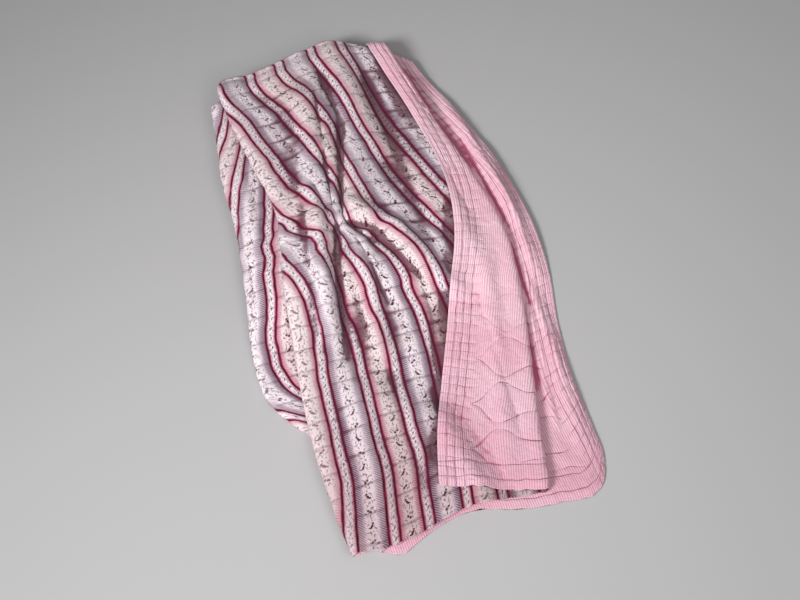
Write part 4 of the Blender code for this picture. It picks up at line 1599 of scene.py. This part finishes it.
def rose_cotton():
    material, tree, shader, across, along = new_material("pin_striped_rose", (0.80, 0.38, 0.48, 1.0))
    place = vector(tree, across, along)
    colour, ribs = pin_striped(tree, place, across)
    colour, threads = threaded(tree, colour, place, across, along)
    faded = between(tree, cloudy(tree, place, 26.0, 5.0), 0.50, 0.72)
    colour = blend_colour(tree, share_of(tree, faded, 0.25), colour, ROSE_FADED)
    # Painted shade: darker towards the foot.
    foot_shade = between(tree, along, ROSE_FOOT_SHADE_LENGTH, 0.0)
    colour = blend_colour(tree, foot_shade, colour, ROSE_FOOT_SHADE, "MULTIPLY")
    # Painted shade in hollows, nooks and deep folds, in a stronger rose.
    deep = between(tree, point_value(tree, "hollow"), 0.42, 1.05, 0.0, 0.75)
    feed(tree, shader.inputs["Base Color"], blend_colour(tree, deep, colour, ROSE_FOLD_SHADE))

    crumple = maths(tree, "MULTIPLY", cloudy(tree, place, 130.0, 4.0), ROSE_CREPE)
    raised = maths(tree, "MULTIPLY_ADD", ribs, RIB_RELIEF, crumple)
    raised = maths(tree, "SUBTRACT", raised, maths(tree, "MULTIPLY", threads, THREAD_GROOVE))
    raise_surface(tree, shader, raised)
    return material


rose_sheet.data.materials.append(rose_cotton())
print("on the rose sheet:", rose_sheet.data.materials[0].name)

# %% [markdown]
# ## Riding on the body, in place of the CAD parts
#
# Both sheets ride on the one body and stand for their CAD nodes, which are hidden.

for piece, node, slot in ((striped_sheet, "quilt_top", "striped_cotton"),
                          (rose_sheet, "quilt_back", "rose_cotton")):
    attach(piece, "root")
    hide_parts(node)
    print(piece.name, "stands for", node)

# %% [markdown]
# ## Floor
#
# The quilt lies on a plain pale floor, wide enough to fill the picture.

# %% Floor
FLOOR_GREY = srgb(188, 187, 188)
FLOOR_REACH = 6.0


def plain_floor():
    ground = bmesh.new()
    bmesh.ops.create_grid(ground, x_segments=1, y_segments=1, size=FLOOR_REACH)
    mesh = bpy.data.meshes.new("floor")
    ground.to_mesh(mesh)
    ground.free()
    floor = bpy.data.objects.new("floor", mesh)
    bpy.context.scene.collection.objects.link(floor)
    material = bpy.data.materials.new("pale_floor")
    material.use_nodes = True
    shader = material.node_tree.nodes["Principled BSDF"]
    shader.inputs["Base Color"].default_value = FLOOR_GREY
    shader.inputs["Roughness"].default_value = 0.7
    shader.inputs["Specular IOR Level"].default_value = 0.2
    mesh.materials.append(material)


plain_floor()
print("the floor reaches", FLOOR_REACH, "m each way")

# %% [markdown]
# ## Light
#
# One large soft lamp stands at the front left, like a window, and gives the rolls their shadow
# side. A wider one in front fills the shadows. A sun lamp would be simpler, but these fade towards
# the far end of the floor, as light in a room does.

# %% Lights
LAMP_COLUMNS = ("name", "place", "aim", "width", "spread", "watts")
LAMPS = (
    ("window_side", (-1.9, -2.3, 2.6), (0.10, 0.05, 0.0), 1.0, 60, 15.5),
    ("front_fill", (0.6, -1.6, 2.1), (0.0, -0.1, 0.0), 1.4, 180, 22.0),
)
ROOM_GREY = srgb(226, 224, 226)
ROOM_STRENGTH = 0.27


def aim_at(thing, place, aim):
    """Puts a lamp or the camera at its place, facing what it is aimed at."""
    direction = np.array(aim) - np.array(place)
    flat = math.hypot(direction[0], direction[1])
    thing.location = place
    thing.rotation_euler = (math.atan2(flat, -direction[2]), 0.0, math.atan2(-direction[0], direction[1]))


for row in LAMPS:
    lamp = dict(zip(LAMP_COLUMNS, row))
    light = bpy.data.lights.new(lamp["name"], "AREA")
    light.size = lamp["width"]
    light.spread = math.radians(lamp["spread"])
    light.energy = lamp["watts"]
    holder = bpy.data.objects.new(lamp["name"], light)
    bpy.context.scene.collection.objects.link(holder)
    aim_at(holder, lamp["place"], lamp["aim"])

world = bpy.data.worlds.new("soft_room")
world.use_nodes = True
background = world.node_tree.nodes["Background"]
background.inputs["Color"].default_value = ROOM_GREY
background.inputs["Strength"].default_value = ROOM_STRENGTH
bpy.context.scene.world = world
bpy.context.scene.view_settings.view_transform = "Standard"
print("lamps, in watts:", {row[0]: row[-1] for row in LAMPS})

# %% [markdown]
# ## Camera
#
# The camera stands in front of the foot hems and looks down at 60 degrees, low enough for the rolls
# to show their height. Its long lens keeps the foot from looking much wider than the far end.

# %% Camera
CAMERA_HEIGHT_ANGLE = math.radians(60)
CAMERA_DISTANCE = 2.25
CAMERA_AIM = (0.012, -0.046, 0.0)
CAMERA_LENS = 55
camera_data = bpy.data.cameras.new("camera")
camera_data.lens = CAMERA_LENS
camera = bpy.data.objects.new("camera", camera_data)
bpy.context.scene.collection.objects.link(camera)
camera_place = (
    CAMERA_AIM[0],
    CAMERA_AIM[1] - CAMERA_DISTANCE * math.cos(CAMERA_HEIGHT_ANGLE),
    CAMERA_AIM[2] + CAMERA_DISTANCE * math.sin(CAMERA_HEIGHT_ANGLE),
)
aim_at(camera, camera_place, CAMERA_AIM)
bpy.context.scene.camera = camera
print("camera at", np.round(camera_place, 3))
